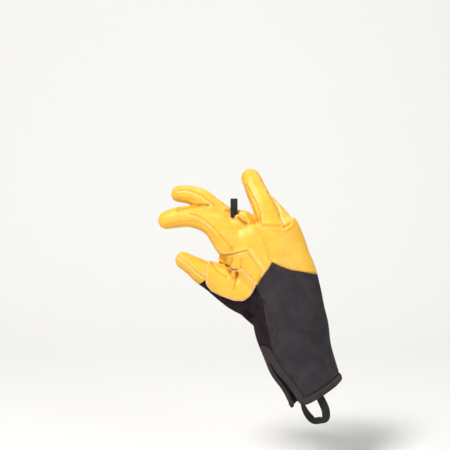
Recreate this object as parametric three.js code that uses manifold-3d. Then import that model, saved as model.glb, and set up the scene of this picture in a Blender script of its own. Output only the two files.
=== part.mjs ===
// A right-hand leather gauntlet glove for rope work, in the shape it keeps while it hangs by its loop.
// Millimetres, +Z up. The origin is the hole of the hang loop, the back of the hand faces -Y.
import * as THREE from "three";
import { mergeVertices } from "three/addons/utils/BufferGeometryUtils.js";
import Module from "manifold-3d";

const wasm = await Module();
wasm.setup();

// Driving dimensions
const handLength = 195;
const cuffLength = 150;
const palmWidth = 104;
const indexWidth = 28;
const middleWidth = 26;
const ringWidth = 28;
const littleWidth = 25;
const thumbWidth = 27;
const leatherWall = 1.5;
const clothWall = 1.8;
const patchWall = 1.4;
const seamGap = 0.3;
const slitHeight = 78;
const slitGape = 11;
const tapeWidth = 7.6;
const tapeThickness = 0.8;
const strapWidth = 11;
const strapThickness = 1.6;
const strapDrop = 32;
const loopWidth = 9;
const loopThickness = 1.4;
const loopHole = 9;

// Facets
const fingerSides = 10;
const palmSides = 20;
const tipRings = 2;
const fingerStep = 17;
const palmStep = 20;
const sectorTurns = 5;
const bunchFacets = { around: 9, down: 5 };
const strapFacets = 20;
const loopFacets = 14;

// Each finger is a tube through these sections, as the glove hangs. across, away and up are shares of the
// hand's length, from the hang loop's hole. wide and deep are shares of the finger's width. turn is degrees
// about the finger's own line.
const indexSections = [
  { across: 0.04, away: 0.02, up: -0.35, wide: 1.2, deep: 0.95, turn: 20 },
  { across: -0.013, away: 0.005, up: -0.261, wide: 1.571, deep: 1.25, turn: 30 },
  { across: -0.098, away: 0.0, up: -0.169, wide: 1.321, deep: 1.143, turn: 38 },
  { across: -0.163, away: 0.005, up: -0.124, wide: 1.143, deep: 1.0, turn: 42 },
  { across: -0.228, away: 0.01, up: -0.098, wide: 1.057, deep: 0.929, turn: 42 },
  { across: -0.293, away: 0.015, up: -0.088, wide: 1.021, deep: 0.893, turn: 42 },
  { across: -0.365, away: 0.021, up: -0.094, wide: 1.0, deep: 0.857, turn: 40 },
  { across: -0.43, away: 0.026, up: -0.111, wide: 0.914, deep: 0.786, turn: 38 },
  { across: -0.495, away: 0.031, up: -0.13, wide: 0.821, deep: 0.714, turn: 36 },
];
const middleSections = [
  { across: 0.13, away: 0.031, up: -0.306, wide: 0.9, deep: 0.9, turn: 20 },
  { across: 0.072, away: 0.036, up: -0.228, wide: 1.154, deep: 1.231, turn: 25 },
  { across: 0.0, away: 0.046, up: -0.156, wide: 1.154, deep: 1.154, turn: 32 },
  { across: -0.075, away: 0.056, up: -0.088, wide: 1.115, deep: 1.077, turn: 38 },
  { across: -0.153, away: 0.062, up: -0.026, wide: 1.062, deep: 1.0, turn: 40 },
  { across: -0.221, away: 0.067, up: 0.029, wide: 1.015, deep: 0.923, turn: 40 },
  { across: -0.287, away: 0.072, up: 0.049, wide: 0.946, deep: 0.885, turn: 40 },
  { across: -0.345, away: 0.077, up: 0.055, wide: 0.885, deep: 0.846, turn: 38 },
  { across: -0.414, away: 0.082, up: 0.065, wide: 0.808, deep: 0.731, turn: 36 },
];
const ringSections = [
  { across: 0.28, away: 0.026, up: -0.28, wide: 0.9, deep: 0.9, turn: 10 },
  { across: 0.254, away: 0.021, up: -0.189, wide: 1.143, deep: 1.143, turn: 10 },
  { across: 0.221, away: 0.036, up: -0.091, wide: 1.086, deep: 1.0, turn: 10 },
  { across: 0.179, away: 0.067, up: 0.007, wide: 1.036, deep: 0.929, turn: 10 },
  { across: 0.143, away: 0.108, up: 0.085, wide: 0.971, deep: 0.893, turn: 10 },
  { across: 0.114, away: 0.149, up: 0.15, wide: 0.9, deep: 0.821, turn: 10 },
  { across: 0.088, away: 0.19, up: 0.208, wide: 0.786, deep: 0.714, turn: 10 },
];
const littleSections = [
  { across: 0.36, away: 0.035, up: -0.28, wide: 0.8, deep: 0.8, turn: 5 },
  { across: 0.345, away: 0.067, up: -0.189, wide: 1.12, deep: 1.12, turn: 5 },
  { across: 0.303, away: 0.118, up: -0.111, wide: 1.04, deep: 1.04, turn: 5 },
  { across: 0.247, away: 0.179, up: -0.046, wide: 1.0, deep: 0.96, turn: 5 },
  { across: 0.202, away: 0.241, up: -0.007, wide: 0.96, deep: 0.88, turn: 5 },
  { across: 0.163, away: 0.297, up: 0.02, wide: 0.8, deep: 0.76, turn: 5 },
];
const thumbSections = [
  { across: 0.22, away: 0.045, up: -0.68, wide: 1.7, deep: 1.1, turn: 0 },
  { across: 0.085, away: 0.031, up: -0.612, wide: 1.852, deep: 1.481, turn: 0 },
  { across: -0.026, away: 0.015, up: -0.55, wide: 1.704, deep: 1.333, turn: 0 },
  { across: -0.132, away: 0.005, up: -0.49, wide: 1.363, deep: 1.111, turn: 0 },
  { across: -0.202, away: 0.0, up: -0.453, wide: 1.148, deep: 1.0, turn: 0 },
  { across: -0.251, away: 0.0, up: -0.42, wide: 1.015, deep: 0.926, turn: 0 },
  { across: -0.313, away: 0.0, up: -0.384, wide: 0.904, deep: 0.852, turn: 0 },
  { across: -0.381, away: 0.0, up: -0.348, wide: 0.778, deep: 0.741, turn: 0 },
];

// The cuff's sections are shares of the cuff's length from the wrist, the hand's are as the fingers' are.
const wrist = { across: 0.326, away: 0.031, up: -0.528 };
const cuffSections = [
  { across: 0.289, away: 0.028, up: -0.959, wide: 0.846, deep: 0.462, turn: 50 },
  { across: 0.209, away: 0.028, up: -0.773, wide: 0.894, deep: 0.471, turn: 44 },
  { across: 0.124, away: 0.021, up: -0.586, wide: 0.952, deep: 0.49, turn: 36 },
  { across: 0.071, away: 0.014, up: -0.417, wide: 0.971, deep: 0.5, turn: 28 },
  { across: 0.027, away: 0.007, up: -0.231, wide: 0.923, deep: 0.481, turn: 22 },
];
const handSections = [
  { across: 0.326, away: 0.031, up: -0.528, wide: 0.837, deep: 0.423, turn: 16 },
  { across: 0.247, away: 0.026, up: -0.384, wide: 0.942, deep: 0.404, turn: 12 },
  { across: 0.182, away: 0.021, up: -0.254, wide: 1.0, deep: 0.385, turn: 10 },
  { across: 0.156, away: 0.021, up: -0.202, wide: 0.95, deep: 0.35, turn: 10 },
  { across: 0.132, away: 0.026, up: -0.145, wide: 0.72, deep: 0.26, turn: 10 },
];

// Seam lines seen from the back, across and up as shares of the hand's length from the hang loop.
const thumbSeamLine = [
  [-0.117, -0.294],
  [-0.095, -0.32],
  [-0.065, -0.332],
  [-0.009, -0.324],
  [0.085, -0.3],
  [0.111, -0.339],
  [0.148, -0.395],
  [0.178, -0.436],
  [0.153, -0.528],
];
const thumbBallLine = [
  [0.13, -0.57],
  [0.1, -0.605],
  [0.059, -0.632],
  [0.0, -0.63],
  [-0.088, -0.598],
  [-0.147, -0.57],
  [-0.182, -0.526],
];
const thumbSplitLine = [
  [-0.46, -0.28],
  [-0.366, -0.343],
  [-0.304, -0.384],
  [-0.25, -0.435],
  [-0.189, -0.481],
  [-0.1, -0.51],
  [0.02, -0.53],
  [0.3, -0.55],
];
const cuffTopLine = [
  [0.173, -0.479],
  [0.198, -0.45],
  [0.223, -0.421],
  [0.246, -0.377],
  [0.306, -0.408],
  [0.369, -0.431],
  [0.431, -0.444],
  [0.493, -0.458],
  [0.62, -0.49],
];
const foreRollLine = [
  [-0.33, -0.062],
  [-0.282, -0.07],
  [-0.207, -0.096],
  [-0.132, -0.16],
  [-0.057, -0.238],
  [-0.012, -0.3],
  [-0.009, -0.324],
];
const patchLine = [
  [-0.158, -0.33],
  [-0.158, -0.38],
  [-0.178, -0.41],
  [-0.178, -0.482],
  [-0.17, -0.52],
  [-0.14, -0.555],
  [-0.085, -0.582],
  [0.0, -0.613],
  [0.055, -0.617],
  [0.095, -0.59],
  [0.122, -0.55],
  [0.13, -0.52],
  [0.11, -0.485],
  [0.07, -0.435],
  [0.047, -0.41],
  [0.0, -0.36],
];
const palmThumbLine = [
  [-0.117, -0.3],
  [-0.095, -0.328],
  [-0.04, -0.345],
  [0.03, -0.355],
  [0.09, -0.4],
  [0.12, -0.46],
  [0.13, -0.52],
];

// The seam between back panel and gusset down to the slit, as shares of the cuff's length from the wrist.
const panelSeamLine = [
  [-0.236, -0.006],
  [-0.18, -0.146],
  [-0.156, -0.298],
];

// Places round the cuff are degrees from its outer side, by way of the back.
const slitEdge = 167;
const tongueSpan = { low: -62, high: 6 };
const tongueReach = 0.62;
const palmPanelDrop = 0.05;
const strapBackSeat = 115;
const strapPalmSeat = 250;
const strapTuck = 9;

// The bunched leather at the finger bases, shares of the hand's length.
const bunch = { across: 0.05, away: 0.03, up: -0.135, wide: 0.19, deep: 0.16, tall: 0.18 };

// Where the seam along each finger's middle starts, as a share of its tube.
const palmSideFrom = { index: 0.1, middle: 0.08, ring: 0.42, little: 0.2 };
const bentFingers = ["ring", "little"];

// How far past the surface the cutting shapes reach, as shares of the tube's half width or depth.
const palmSpread = 1.15;
const fingerSpread = 1.02;
const stripReach = { inner: 0.55, outer: 1.15, half: 0.5 };
const cutReach = clothWall * 4;
const leastMitre = 0.3;
const tipFlat = 0.35;

// The pull loop's line: how far down each place hangs, and how far it is drawn in to the lowest place.
const strapRows = [
  { down: 0.1, drawnIn: 0 },
  { down: 0.6, drawnIn: 0 },
  { down: 0.92, drawnIn: 0.35 },
];
const strapSeatGap = 5 * seamGap;

// The hang loop's arch, as shares of its half height.
const loopArch = { straight: -0.4, bendOut: 0.75, bendUp: 0.66, root: 0.7 };

// Where the strips between the fingers start and end, as shares of each finger's tube.
const forkSpans = [
  { name: "index_middle_fourchette", near: "index", nearFrom: 0.32, far: "middle", farFrom: 0.34, to: 0.93 },
  { name: "middle_ring_fourchette", near: "middle", nearFrom: 0.22, far: "ring", farFrom: 0.16, to: 0.93 },
  { name: "ring_little_fourchette", near: "ring", nearFrom: 0.2, far: "little", farFrom: 0.16, to: 0.9 },
];

const TOWARD = new THREE.Vector3(0, -1, 0);

// Turns section rows into the curves of a tube: its line, and its half width, half depth and turn.
function fingerTube(rows, width) {
  return tubeThrough(rows.map(placeOf), rows.map((row) => girthOf(row, width)));
}

function placeOf(row) {
  return new THREE.Vector3(row.across, row.away, row.up).multiplyScalar(handLength);
}

function girthOf(row, width) {
  const turn = THREE.MathUtils.degToRad(row.turn);
  return new THREE.Vector3((row.wide * width) / 2, (row.deep * width) / 2, turn);
}

function tubeThrough(line, girths) {
  const path = new THREE.CatmullRomCurve3(line, false, "catmullrom", 0.5);
  const girth = new THREE.CatmullRomCurve3(girths, false, "catmullrom", 0.5);
  return { path, girth, length: path.getLength() };
}

// The section at a distance along a tube: side points to the outer side, front to the back of the hand.
function sectionAt(tube, distance) {
  const held = THREE.MathUtils.clamp(distance, 0, tube.length);
  const t = tube.path.getUtoTmapping(held / tube.length);
  const along = tube.path.getTangent(t);
  const centre = tube.path.getPoint(t).addScaledVector(along, distance - held);
  const girth = tube.girth.getPoint(t);
  const flatFront = TOWARD.clone().addScaledVector(along, -TOWARD.dot(along)).normalize();
  const flatSide = new THREE.Vector3().crossVectors(along, flatFront);
  const side = flatSide.clone().multiplyScalar(Math.cos(girth.z));
  side.addScaledVector(flatFront, -Math.sin(girth.z));
  const front = flatFront.multiplyScalar(Math.cos(girth.z));
  front.addScaledVector(flatSide, Math.sin(girth.z));
  return { centre, side, front, halfWide: girth.x, halfDeep: girth.y };
}

// A point of the section's rim, at an angle from the side, grown outwards by grow.
function rimPoint(section, degrees, grow, share = 1) {
  const angle = THREE.MathUtils.degToRad(degrees);
  return new THREE.Vector2(
    (section.halfWide + grow) * share * Math.cos(angle),
    (section.halfDeep + grow) * share * Math.sin(angle),
  );
}

function fullRim(section, sides, grow, share = 1) {
  return Array.from({ length: sides }, (_, i) => rimPoint(section, (360 * i) / sides, grow, share));
}

function solidFrom(positions, indices) {
  const geometry = new THREE.BufferGeometry();
  geometry.setAttribute("position", new THREE.Float32BufferAttribute(positions, 3));
  geometry.setIndex(indices);
  return solidFromGeometry(geometry);
}

function solidFromGeometry(geometry) {
  geometry.deleteAttribute("normal");
  geometry.deleteAttribute("uv");
  const merged = mergeVertices(geometry, 1e-4);
  const triVerts = new Uint32Array(merged.index.array);
  const vertProperties = new Float32Array(merged.attributes.position.array);
  const made = new wasm.Manifold(new wasm.Mesh({ numProp: 3, vertProperties, triVerts }));
  if (made.volume() > 0) return made;
  triVerts.reverse();
  return new wasm.Manifold(new wasm.Mesh({ numProp: 3, vertProperties, triVerts }));
}

// Joins flat outlines, each in its own section's plane and all with as many points, into one closed solid.
function loft(stations) {
  const positions = [];
  const indices = [];
  const count = stations[0].outline.length;
  for (const { section, outline } of stations) {
    for (const point of outline) {
      const place = section.centre.clone().addScaledVector(section.side, point.x);
      positions.push(...place.addScaledVector(section.front, point.y).toArray());
    }
  }
  for (let ring = 0; ring + 1 < stations.length; ring++) {
    for (let i = 0; i < count; i++) {
      const a = ring * count + i;
      const b = ring * count + ((i + 1) % count);
      indices.push(a, b, b + count, a, b + count, a + count);
    }
  }
  const last = (stations.length - 1) * count;
  for (const [a, b, c] of THREE.ShapeUtils.triangulateShape(stations[0].outline, [])) indices.push(c, b, a);
  const ends = THREE.ShapeUtils.triangulateShape(stations[stations.length - 1].outline, []);
  for (const [a, b, c] of ends) indices.push(last + a, last + b, last + c);
  return solidFrom(positions, indices);
}

// Distances from one end to the other in even steps of about the given size.
function stepsBetween(from, to, size) {
  const count = Math.max(2, Math.round((to - from) / size));
  return Array.from({ length: count + 1 }, (_, i) => from + ((to - from) * i) / count);
}

// Lofts a profile that may change along the tube, with a straight stretch added before and after.
function sweep(tube, from, to, size, profile, before = 0, after = before) {
  const distances = stepsBetween(from, to, size);
  if (before > 0) distances.unshift(from - before);
  else distances[0] -= before;
  if (after > 0) distances.push(to + after);
  else distances[distances.length - 1] += after;
  return loft(
    distances.map((distance) => {
      const section = sectionAt(tube, distance);
      return { section, outline: profile(section, distance) };
    }),
  );
}

// A finger's tube with a round tip, grown by grow on every side.
function roundTipped(tube, sides, size, grow) {
  const tip = tube.girth.points[tube.girth.points.length - 1].x;
  const shoulder = tube.length - tip;
  const stations = stepsBetween(0, shoulder, size).map((distance) => {
    const section = sectionAt(tube, distance);
    return { section, outline: fullRim(section, sides, grow) };
  });
  for (let i = 1; i <= tipRings; i++) {
    const lift = (Math.PI / 2) * (i / (tipRings + tipFlat));
    const section = sectionAt(tube, shoulder + (tip + grow) * Math.sin(lift));
    stations.push({ section, outline: fullRim(section, sides, grow, Math.cos(lift)) });
  }
  return loft(stations);
}

// A tube's half on the palm side (-1) or the back side (1) of its own middle plane, which moves by shift.
function halfOf(tube, from, to, size, side, spread, grow, shift) {
  const profile = (section) => {
    const wide = section.halfWide * spread + grow;
    const deep = side * (section.halfDeep * spread + grow);
    const corners = [
      new THREE.Vector2(-wide, deep),
      new THREE.Vector2(wide, deep),
      new THREE.Vector2(wide, shift),
      new THREE.Vector2(-wide, shift),
    ];
    return side < 0 ? corners : corners.reverse();
  };
  return sweep(tube, from, to, size, profile, grow);
}

// The strip of wall on one side of a finger, between two shares of its depth.
function sideStrip(tube, from, to, sign, grow) {
  const profile = (section) => {
    const inner = sign * (section.halfWide * stripReach.inner - grow);
    const outer = sign * (section.halfWide * stripReach.outer + grow);
    const half = section.halfDeep * stripReach.half + grow;
    const corners = [
      new THREE.Vector2(inner, -half),
      new THREE.Vector2(outer, -half),
      new THREE.Vector2(outer, half),
      new THREE.Vector2(inner, half),
    ];
    return sign > 0 ? corners : corners.reverse();
  };
  return sweep(tube, from, to, fingerStep, profile, grow);
}

// A wall of the cuff between two distances and two angles round it.
function cuffSector(from, to, lowAt, highAt, inner, outer) {
  return sweep(palmTube, from, to, palmStep, (section, distance) => {
    const low = lowAt(section, distance);
    const high = highAt(section, distance);
    const angles = stepsBetween(low, high, (high - low) / sectorTurns);
    const rim = angles.map((angle) => rimPoint(section, angle, outer));
    const hollow = angles.map((angle) => rimPoint(section, angle, inner)).reverse();
    return [...rim, ...hollow];
  });
}

// Moves each edge of a closed outline outwards by grow, with mitred corners.
function grown(points, grow) {
  const outwards = THREE.ShapeUtils.isClockWise(points) ? -grow : grow;
  const normalOf = (from, to) => new THREE.Vector2(to.y - from.y, from.x - to.x).normalize();
  return points.map((point, i) => {
    const before = points[(i + points.length - 1) % points.length];
    const after = points[(i + 1) % points.length];
    const first = normalOf(before, point);
    const second = normalOf(point, after);
    const mitre = outwards / Math.max(leastMitre, 1 + first.dot(second));
    return first.add(second).multiplyScalar(mitre).add(point);
  });
}

// A prism through the whole glove, or its near or far part, over an outline seen from the back.
function prism(points, grow, nearest, farthest) {
  const shape = new THREE.Shape(grown(points, grow));
  const depth = farthest - nearest;
  const geometry = new THREE.ExtrudeGeometry(shape, { depth, bevelEnabled: false });
  geometry.rotateX(Math.PI / 2);
  geometry.translate(0, farthest, 0);
  return solidFromGeometry(geometry);
}

function onHand(line) {
  return line.map(([across, up]) => new THREE.Vector2(across * handLength, up * handLength));
}

function onCuff(line) {
  return line.map(
    ([across, up]) =>
      new THREE.Vector2(wristPoint.x + across * cuffLength, wristPoint.z + up * cuffLength),
  );
}

// Splits a wall along the edge of a region, with the seam's gap between the two parts.
function split(wall, region) {
  return [wall.intersect(region(-seamGap / 2)), wall.subtract(region(seamGap / 2))];
}

function joinAll(solids) {
  return solids.reduce((sum, solid) => sum.add(solid));
}

// The largest connected part of a cut wall.
function panelOf(wall) {
  const parts = wall.decompose();
  return parts.reduce((best, part) => (part.volume() > best.volume() ? part : best));
}

// The palm's and cuff's wall with both faces grown, open at the hem.
function sleeveWall(grow) {
  const rimAt = (section) => fullRim(section, palmSides, grow);
  const hollowAt = (section) => fullRim(section, palmSides, -clothWall - grow);
  const outside = sweep(palmTube, 0, palmTube.length, palmStep, rimAt, grow);
  return outside.subtract(sweep(palmTube, 0, palmTube.length, palmStep, hollowAt, grow + 1));
}

// A slab across the cuff between two distances from the hem.
function cuffSlab(from, to) {
  const corners = [
    new THREE.Vector2(-palmWidth, -palmWidth),
    new THREE.Vector2(palmWidth, -palmWidth),
    new THREE.Vector2(palmWidth, palmWidth),
    new THREE.Vector2(-palmWidth, palmWidth),
  ];
  return sweep(palmTube, from, to, palmWidth, () => corners);
}

// How many degrees round the thumb-side edge of a section one millimetre takes.
function degreesPerMm(section) {
  return THREE.MathUtils.radToDeg(1 / section.halfDeep);
}

// The open wedge of the slit, each edge moved into the opening by inset.
function slitWedge(inset) {
  const top = slitHeight * (1 - (2 * inset + seamGap) / slitGape);
  const low = (section) => slitEdge + inset * degreesPerMm(section);
  const high = (section, distance) => {
    const open = slitGape * (1 - distance / slitHeight) - inset;
    return slitEdge + open * degreesPerMm(section);
  };
  return cuffSector(-strapDrop, top, low, high, -cutReach, cutReach);
}

// A flat strap along a curve, its width lying along the direction that acrossAt gives.
function strap(curve, acrossAt, width, thickness, steps) {
  const half = width / 2;
  const thin = thickness / 2;
  const outline = [
    new THREE.Vector2(-half, -thin),
    new THREE.Vector2(half, -thin),
    new THREE.Vector2(half, thin),
    new THREE.Vector2(-half, thin),
  ];
  return loft(
    Array.from({ length: steps + 1 }, (_, i) => {
      const along = curve.getTangentAt(i / steps);
      const front = new THREE.Vector3().crossVectors(acrossAt(i / steps), along).normalize();
      const side = new THREE.Vector3().crossVectors(along, front);
      return { section: { centre: curve.getPointAt(i / steps), side, front }, outline };
    }),
  );
}

const wristPoint = placeOf(wrist);
const palmLine = [
  ...cuffSections.map((row) =>
    new THREE.Vector3(row.across, row.away, row.up).multiplyScalar(cuffLength).add(wristPoint),
  ),
  ...handSections.map(placeOf),
];
const palmGirths = [...cuffSections, ...handSections].map((row) => girthOf(row, palmWidth));
const palmTube = tubeThrough(palmLine, palmGirths);
const tubes = {
  index: fingerTube(indexSections, indexWidth),
  middle: fingerTube(middleSections, middleWidth),
  ring: fingerTube(ringSections, ringWidth),
  little: fingerTube(littleSections, littleWidth),
  thumb: fingerTube(thumbSections, thumbWidth),
};
const wristShare = cuffSections.length / (palmLine.length - 1);
const wristDistance = palmTube.path.getLengths()[Math.round(palmTube.path.arcLengthDivisions * wristShare)];
const reach = handLength + cuffLength;

// The bunch of leather under the hang loop, grown by grow on every side.
function bunchSolid(grow) {
  const ball = new THREE.SphereGeometry(1, bunchFacets.around, bunchFacets.down);
  const half = handLength / 2;
  ball.scale(bunch.wide * half + grow, bunch.deep * half + grow, bunch.tall * half + grow);
  ball.translate(bunch.across * handLength, bunch.away * handLength, bunch.up * handLength);
  return solidFromGeometry(ball);
}

// The whole glove as one closed body. The palm's own tube takes its wall from the distance along it.
function gloveBody(grow, growAt, hemReach) {
  const rim = (section, distance) => fullRim(section, palmSides, growAt(distance));
  const palm = sweep(palmTube, 0, palmTube.length, palmStep, rim, hemReach, grow);
  const fingers = Object.values(tubes).map((tube) => roundTipped(tube, fingerSides, fingerStep, grow));
  return joinAll([palm, ...fingers, bunchSolid(grow)]);
}

const outerBody = gloveBody(0, () => 0, 0);
const hollow = gloveBody(
  -leatherWall,
  (distance) => (distance < wristDistance ? -clothWall : -leatherWall),
  strapDrop,
);
const shell = outerBody.subtract(hollow).subtract(slitWedge(0));

// The gusset from the slit's top to under the thumb, front and back alike.
const slitTop = sectionAt(palmTube, slitHeight);
const slitCorner = rimPoint(slitTop, slitEdge, 0);
const slitPlace = slitTop.centre.clone().addScaledVector(slitTop.side, slitCorner.x);
slitPlace.addScaledVector(slitTop.front, slitCorner.y);
const besideSlit = slitPlace.clone().addScaledVector(slitTop.side, -palmWidth);
const tongueTip = onHand([
  [-0.187, -0.495],
  [-0.24, -0.54],
]);
const gussetOutline = [
  ...onCuff(panelSeamLine),
  new THREE.Vector2(slitPlace.x, slitPlace.z),
  new THREE.Vector2(besideSlit.x, besideSlit.z),
  new THREE.Vector2(besideSlit.x - palmWidth / 2, tongueTip[1].y - palmWidth / 4),
  tongueTip[1],
  tongueTip[0],
  ...onHand(thumbBallLine).reverse(),
];
const [gussetWall, upperWall] = split(shell, (grow) => prism(gussetOutline, grow, -reach, reach));

// The thumb, bounded by one seam on the back of the hand and a plainer one on the palm.
function thumbOutline(line) {
  const beyond = onHand([
    [-0.7, -0.7],
    [-0.7, -0.262],
    [-0.2, -0.262],
  ]);
  return [...onHand(line), ...onHand(thumbBallLine), ...tongueTip, ...beyond];
}
const thumbMiddle = placeOf(thumbSections[3]).y;
const [thumbWall, handWall] = split(upperWall, (grow) =>
  prism(thumbOutline(thumbSeamLine), grow, -reach, thumbMiddle + grow).add(
    prism(thumbOutline(palmThumbLine), grow, -reach, reach),
  ),
);
const thumbLowerOutline = [...onHand(thumbSplitLine), ...onHand([[0.3, -0.9], [-0.7, -0.9], [-0.7, -0.28]])];
const [thumbLower, thumbUpper] = split(thumbWall, (grow) => prism(thumbLowerOutline, grow, -reach, reach));

// The strips between neighbouring fingers.
const strips = {};
let bareWall = handWall;
for (const fork of forkSpans) {
  const region = (grow) => {
    const near = tubes[fork.near];
    const far = tubes[fork.far];
    return sideStrip(near, near.length * fork.nearFrom, near.length * fork.to, 1, grow).add(
      sideStrip(far, far.length * fork.farFrom, far.length * fork.to, -1, grow),
    );
  };
  const [strip, left] = split(bareWall, region);
  strips[fork.name] = panelOf(strip);
  bareWall = left;
}

// Palm side and back, each split again where leather meets cloth.
const foreSideOutline = onHand([...foreRollLine, [-0.12, -0.4], [-0.33, -0.26]]);
function fingerHalf(name, side, grow, shift) {
  const tube = tubes[name];
  const from = tube.length * palmSideFrom[name];
  return halfOf(tube, from, tube.length + fingerStep, fingerStep, side, fingerSpread, grow, shift);
}
const [palmWall, backWall] = split(bareWall, (grow) => {
  const palmEnd = palmTube.length + fingerStep;
  const palmSide = halfOf(palmTube, -strapDrop, palmEnd, palmStep, -1, palmSpread, grow, grow);
  const foreSide = prism(foreSideOutline, grow, -reach, placeOf(indexSections[3]).y + grow);
  const fingerPalms = Object.keys(palmSideFrom).map((name) => fingerHalf(name, -1, grow, grow));
  const fingerBacks = bentFingers.map((name) => fingerHalf(name, 1, -grow, grow));
  return joinAll([palmSide.subtract(joinAll(fingerBacks)), foreSide, ...fingerPalms]);
});
const below = onHand([[1.2, -0.49], [1.2, -2], [-1, -2], [-1, -0.528], [0.153, -0.528]]);
const [cuffBack, backLeather] = split(backWall, (grow) =>
  prism([...onHand(cuffTopLine), ...below], grow, -reach, reach),
);
const palmTop = wristPoint.z - palmPanelDrop * cuffLength;
const palmPanelOutline = [
  new THREE.Vector2(-reach, palmTop),
  new THREE.Vector2(reach, palmTop),
  new THREE.Vector2(reach, -2 * reach),
  new THREE.Vector2(-reach, -2 * reach),
];
const tongueFrom = cuffLength * (1 - tongueReach);
const [cuffPalm, palmLeather] = split(palmWall, (grow) => {
  const low = (section) => tongueSpan.low + grow * degreesPerMm(section);
  const high = () => tongueSpan.high;
  const tongue = cuffSector(tongueFrom + grow, wristDistance + palmStep, low, high, -cutReach, cutReach);
  return prism(palmPanelOutline, grow, -reach, reach).subtract(tongue);
});

// The second layer of leather over the thumb's base.
const clearBody = gloveBody(seamGap, () => seamGap, 0);
const patchTop = seamGap + patchWall;
const patchLayer = gloveBody(patchTop, () => patchTop, 0).subtract(clearBody);
const thumbPatch = patchLayer.intersect(prism(onHand(patchLine), 0, -reach, thumbMiddle));

// Folded tape round the hem and up both edges of the slit.
const tapeGrow = seamGap + tapeThickness;
const tapeTop = slitHeight + tapeWidth;
const tapeLow = (section) => slitEdge - tapeWidth * degreesPerMm(section);
const tapeHigh = (section, distance) => {
  const open = Math.max(0, slitGape * (1 - distance / slitHeight));
  return slitEdge + (open + tapeWidth) * degreesPerMm(section);
};
const slitTape = cuffSector(-tapeGrow, tapeTop, tapeLow, tapeHigh, -cutReach, cutReach);
const tapeZone = cuffSlab(-tapeGrow - seamGap, tapeWidth).add(slitTape);
const tapeChannel = sleeveWall(seamGap).subtract(slitWedge(seamGap));
const hemBinding = sleeveWall(tapeGrow).subtract(slitWedge(tapeGrow)).intersect(tapeZone).subtract(tapeChannel);

// The webbing loop under the hem, its ends laid on the inner face of the tape.
const hem = sectionAt(palmTube, 0);
const hemDown = new THREE.Vector3().crossVectors(hem.side, hem.front);
const seatDepth = -clothWall - tapeGrow - strapSeatGap - strapThickness / 2;
function strapPlace(degrees, drop) {
  const section = sectionAt(palmTube, Math.max(0, -drop));
  const seat = rimPoint(section, degrees, seatDepth);
  const place = section.centre.clone().addScaledVector(section.side, seat.x);
  place.addScaledVector(section.front, seat.y);
  return place.addScaledVector(hemDown, Math.max(0, drop));
}
function rimDirection(degrees) {
  const along = rimPoint(hem, degrees - 5, 0).sub(rimPoint(hem, degrees + 5, 0));
  return hem.side.clone().multiplyScalar(along.x).addScaledVector(hem.front, along.y).normalize();
}
const strapStart = rimDirection(strapBackSeat);
const strapEnd = rimDirection(strapPalmSeat).negate();
const strapAcross = (share) => strapStart.clone().lerp(strapEnd, share);
const strapBottom = strapPlace(strapBackSeat, strapDrop).lerp(strapPlace(strapPalmSeat, strapDrop), 0.5);
function strapLimb(degrees) {
  const hanging = strapRows.map(({ down, drawnIn }) =>
    strapPlace(degrees, strapDrop * down).lerp(strapBottom, drawnIn),
  );
  return [strapPlace(degrees, -strapTuck), ...hanging];
}
const strapLine = [...strapLimb(strapBackSeat), strapBottom, ...strapLimb(strapPalmSeat).reverse()];
const strapCurve = new THREE.CatmullRomCurve3(strapLine, false, "centripetal");
const pullLoop = strap(strapCurve, strapAcross, strapWidth, strapThickness, strapFacets);

// The small loop that the glove hangs by, sewn into the bunch of leather.
const loopHalf = (loopHole + loopThickness) / 2;
const loopLimb = [
  new THREE.Vector3(0, loopHalf, bunch.up * handLength * loopArch.root),
  new THREE.Vector3(0, loopHalf, loopHalf * loopArch.straight),
  new THREE.Vector3(0, loopHalf * loopArch.bendOut, loopHalf * loopArch.bendUp),
];
const farLimb = loopLimb.map((place) => place.clone().multiply(new THREE.Vector3(1, -1, 1)));
const loopLine = [...loopLimb, new THREE.Vector3(0, 0, loopHalf), ...farLimb.reverse()];
const loopCurve = new THREE.CatmullRomCurve3(loopLine, false, "centripetal");
const loopAcross = () => new THREE.Vector3(1, 0, 0);
const hangLoop = strap(loopCurve, loopAcross, loopWidth, loopThickness, loopFacets).subtract(clearBody);

const yellowLeather = { color: 0xf3bb45, roughness: 0.6, metalness: 0 };
const charcoalCloth = { color: 0x3b393e, roughness: 0.85, metalness: 0 };
const darkSoftshell = { color: 0x2b2229, roughness: 0.9, metalness: 0 };
const greyTape = { color: 0x47434a, roughness: 0.9, metalness: 0 };
const blackWebbing = { color: 0x1f1d20, roughness: 0.8, metalness: 0 };

const glove = new THREE.Group();

function addPiece(name, solid, finish) {
  const mesh = panelOf(solid).getMesh();
  const geometry = new THREE.BufferGeometry();
  geometry.setAttribute("position", new THREE.BufferAttribute(mesh.vertProperties, 3));
  geometry.setIndex(new THREE.BufferAttribute(mesh.triVerts, 1));
  geometry.computeVertexNormals();
  const piece = new THREE.Mesh(geometry, new THREE.MeshStandardMaterial(finish));
  piece.name = name;
  glove.add(piece);
}

addPiece("back_leather", backLeather, yellowLeather);
addPiece("palm_leather", palmLeather, yellowLeather);
for (const [name, strip] of Object.entries(strips)) addPiece(name, strip, yellowLeather);
addPiece("thumb_upper", thumbUpper, yellowLeather);
addPiece("thumb_lower", thumbLower, yellowLeather);
addPiece("thumb_patch", thumbPatch, yellowLeather);
addPiece("cuff_back", cuffBack, charcoalCloth);
addPiece("cuff_palm", cuffPalm, charcoalCloth);
addPiece("cuff_gusset", gussetWall, darkSoftshell);
addPiece("hem_binding", hemBinding, greyTape);
addPiece("pull_loop", pullLoop, blackWebbing);
addPiece("hang_loop", hangLoop, blackWebbing);

export default glove;
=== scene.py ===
import json
import math

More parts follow.
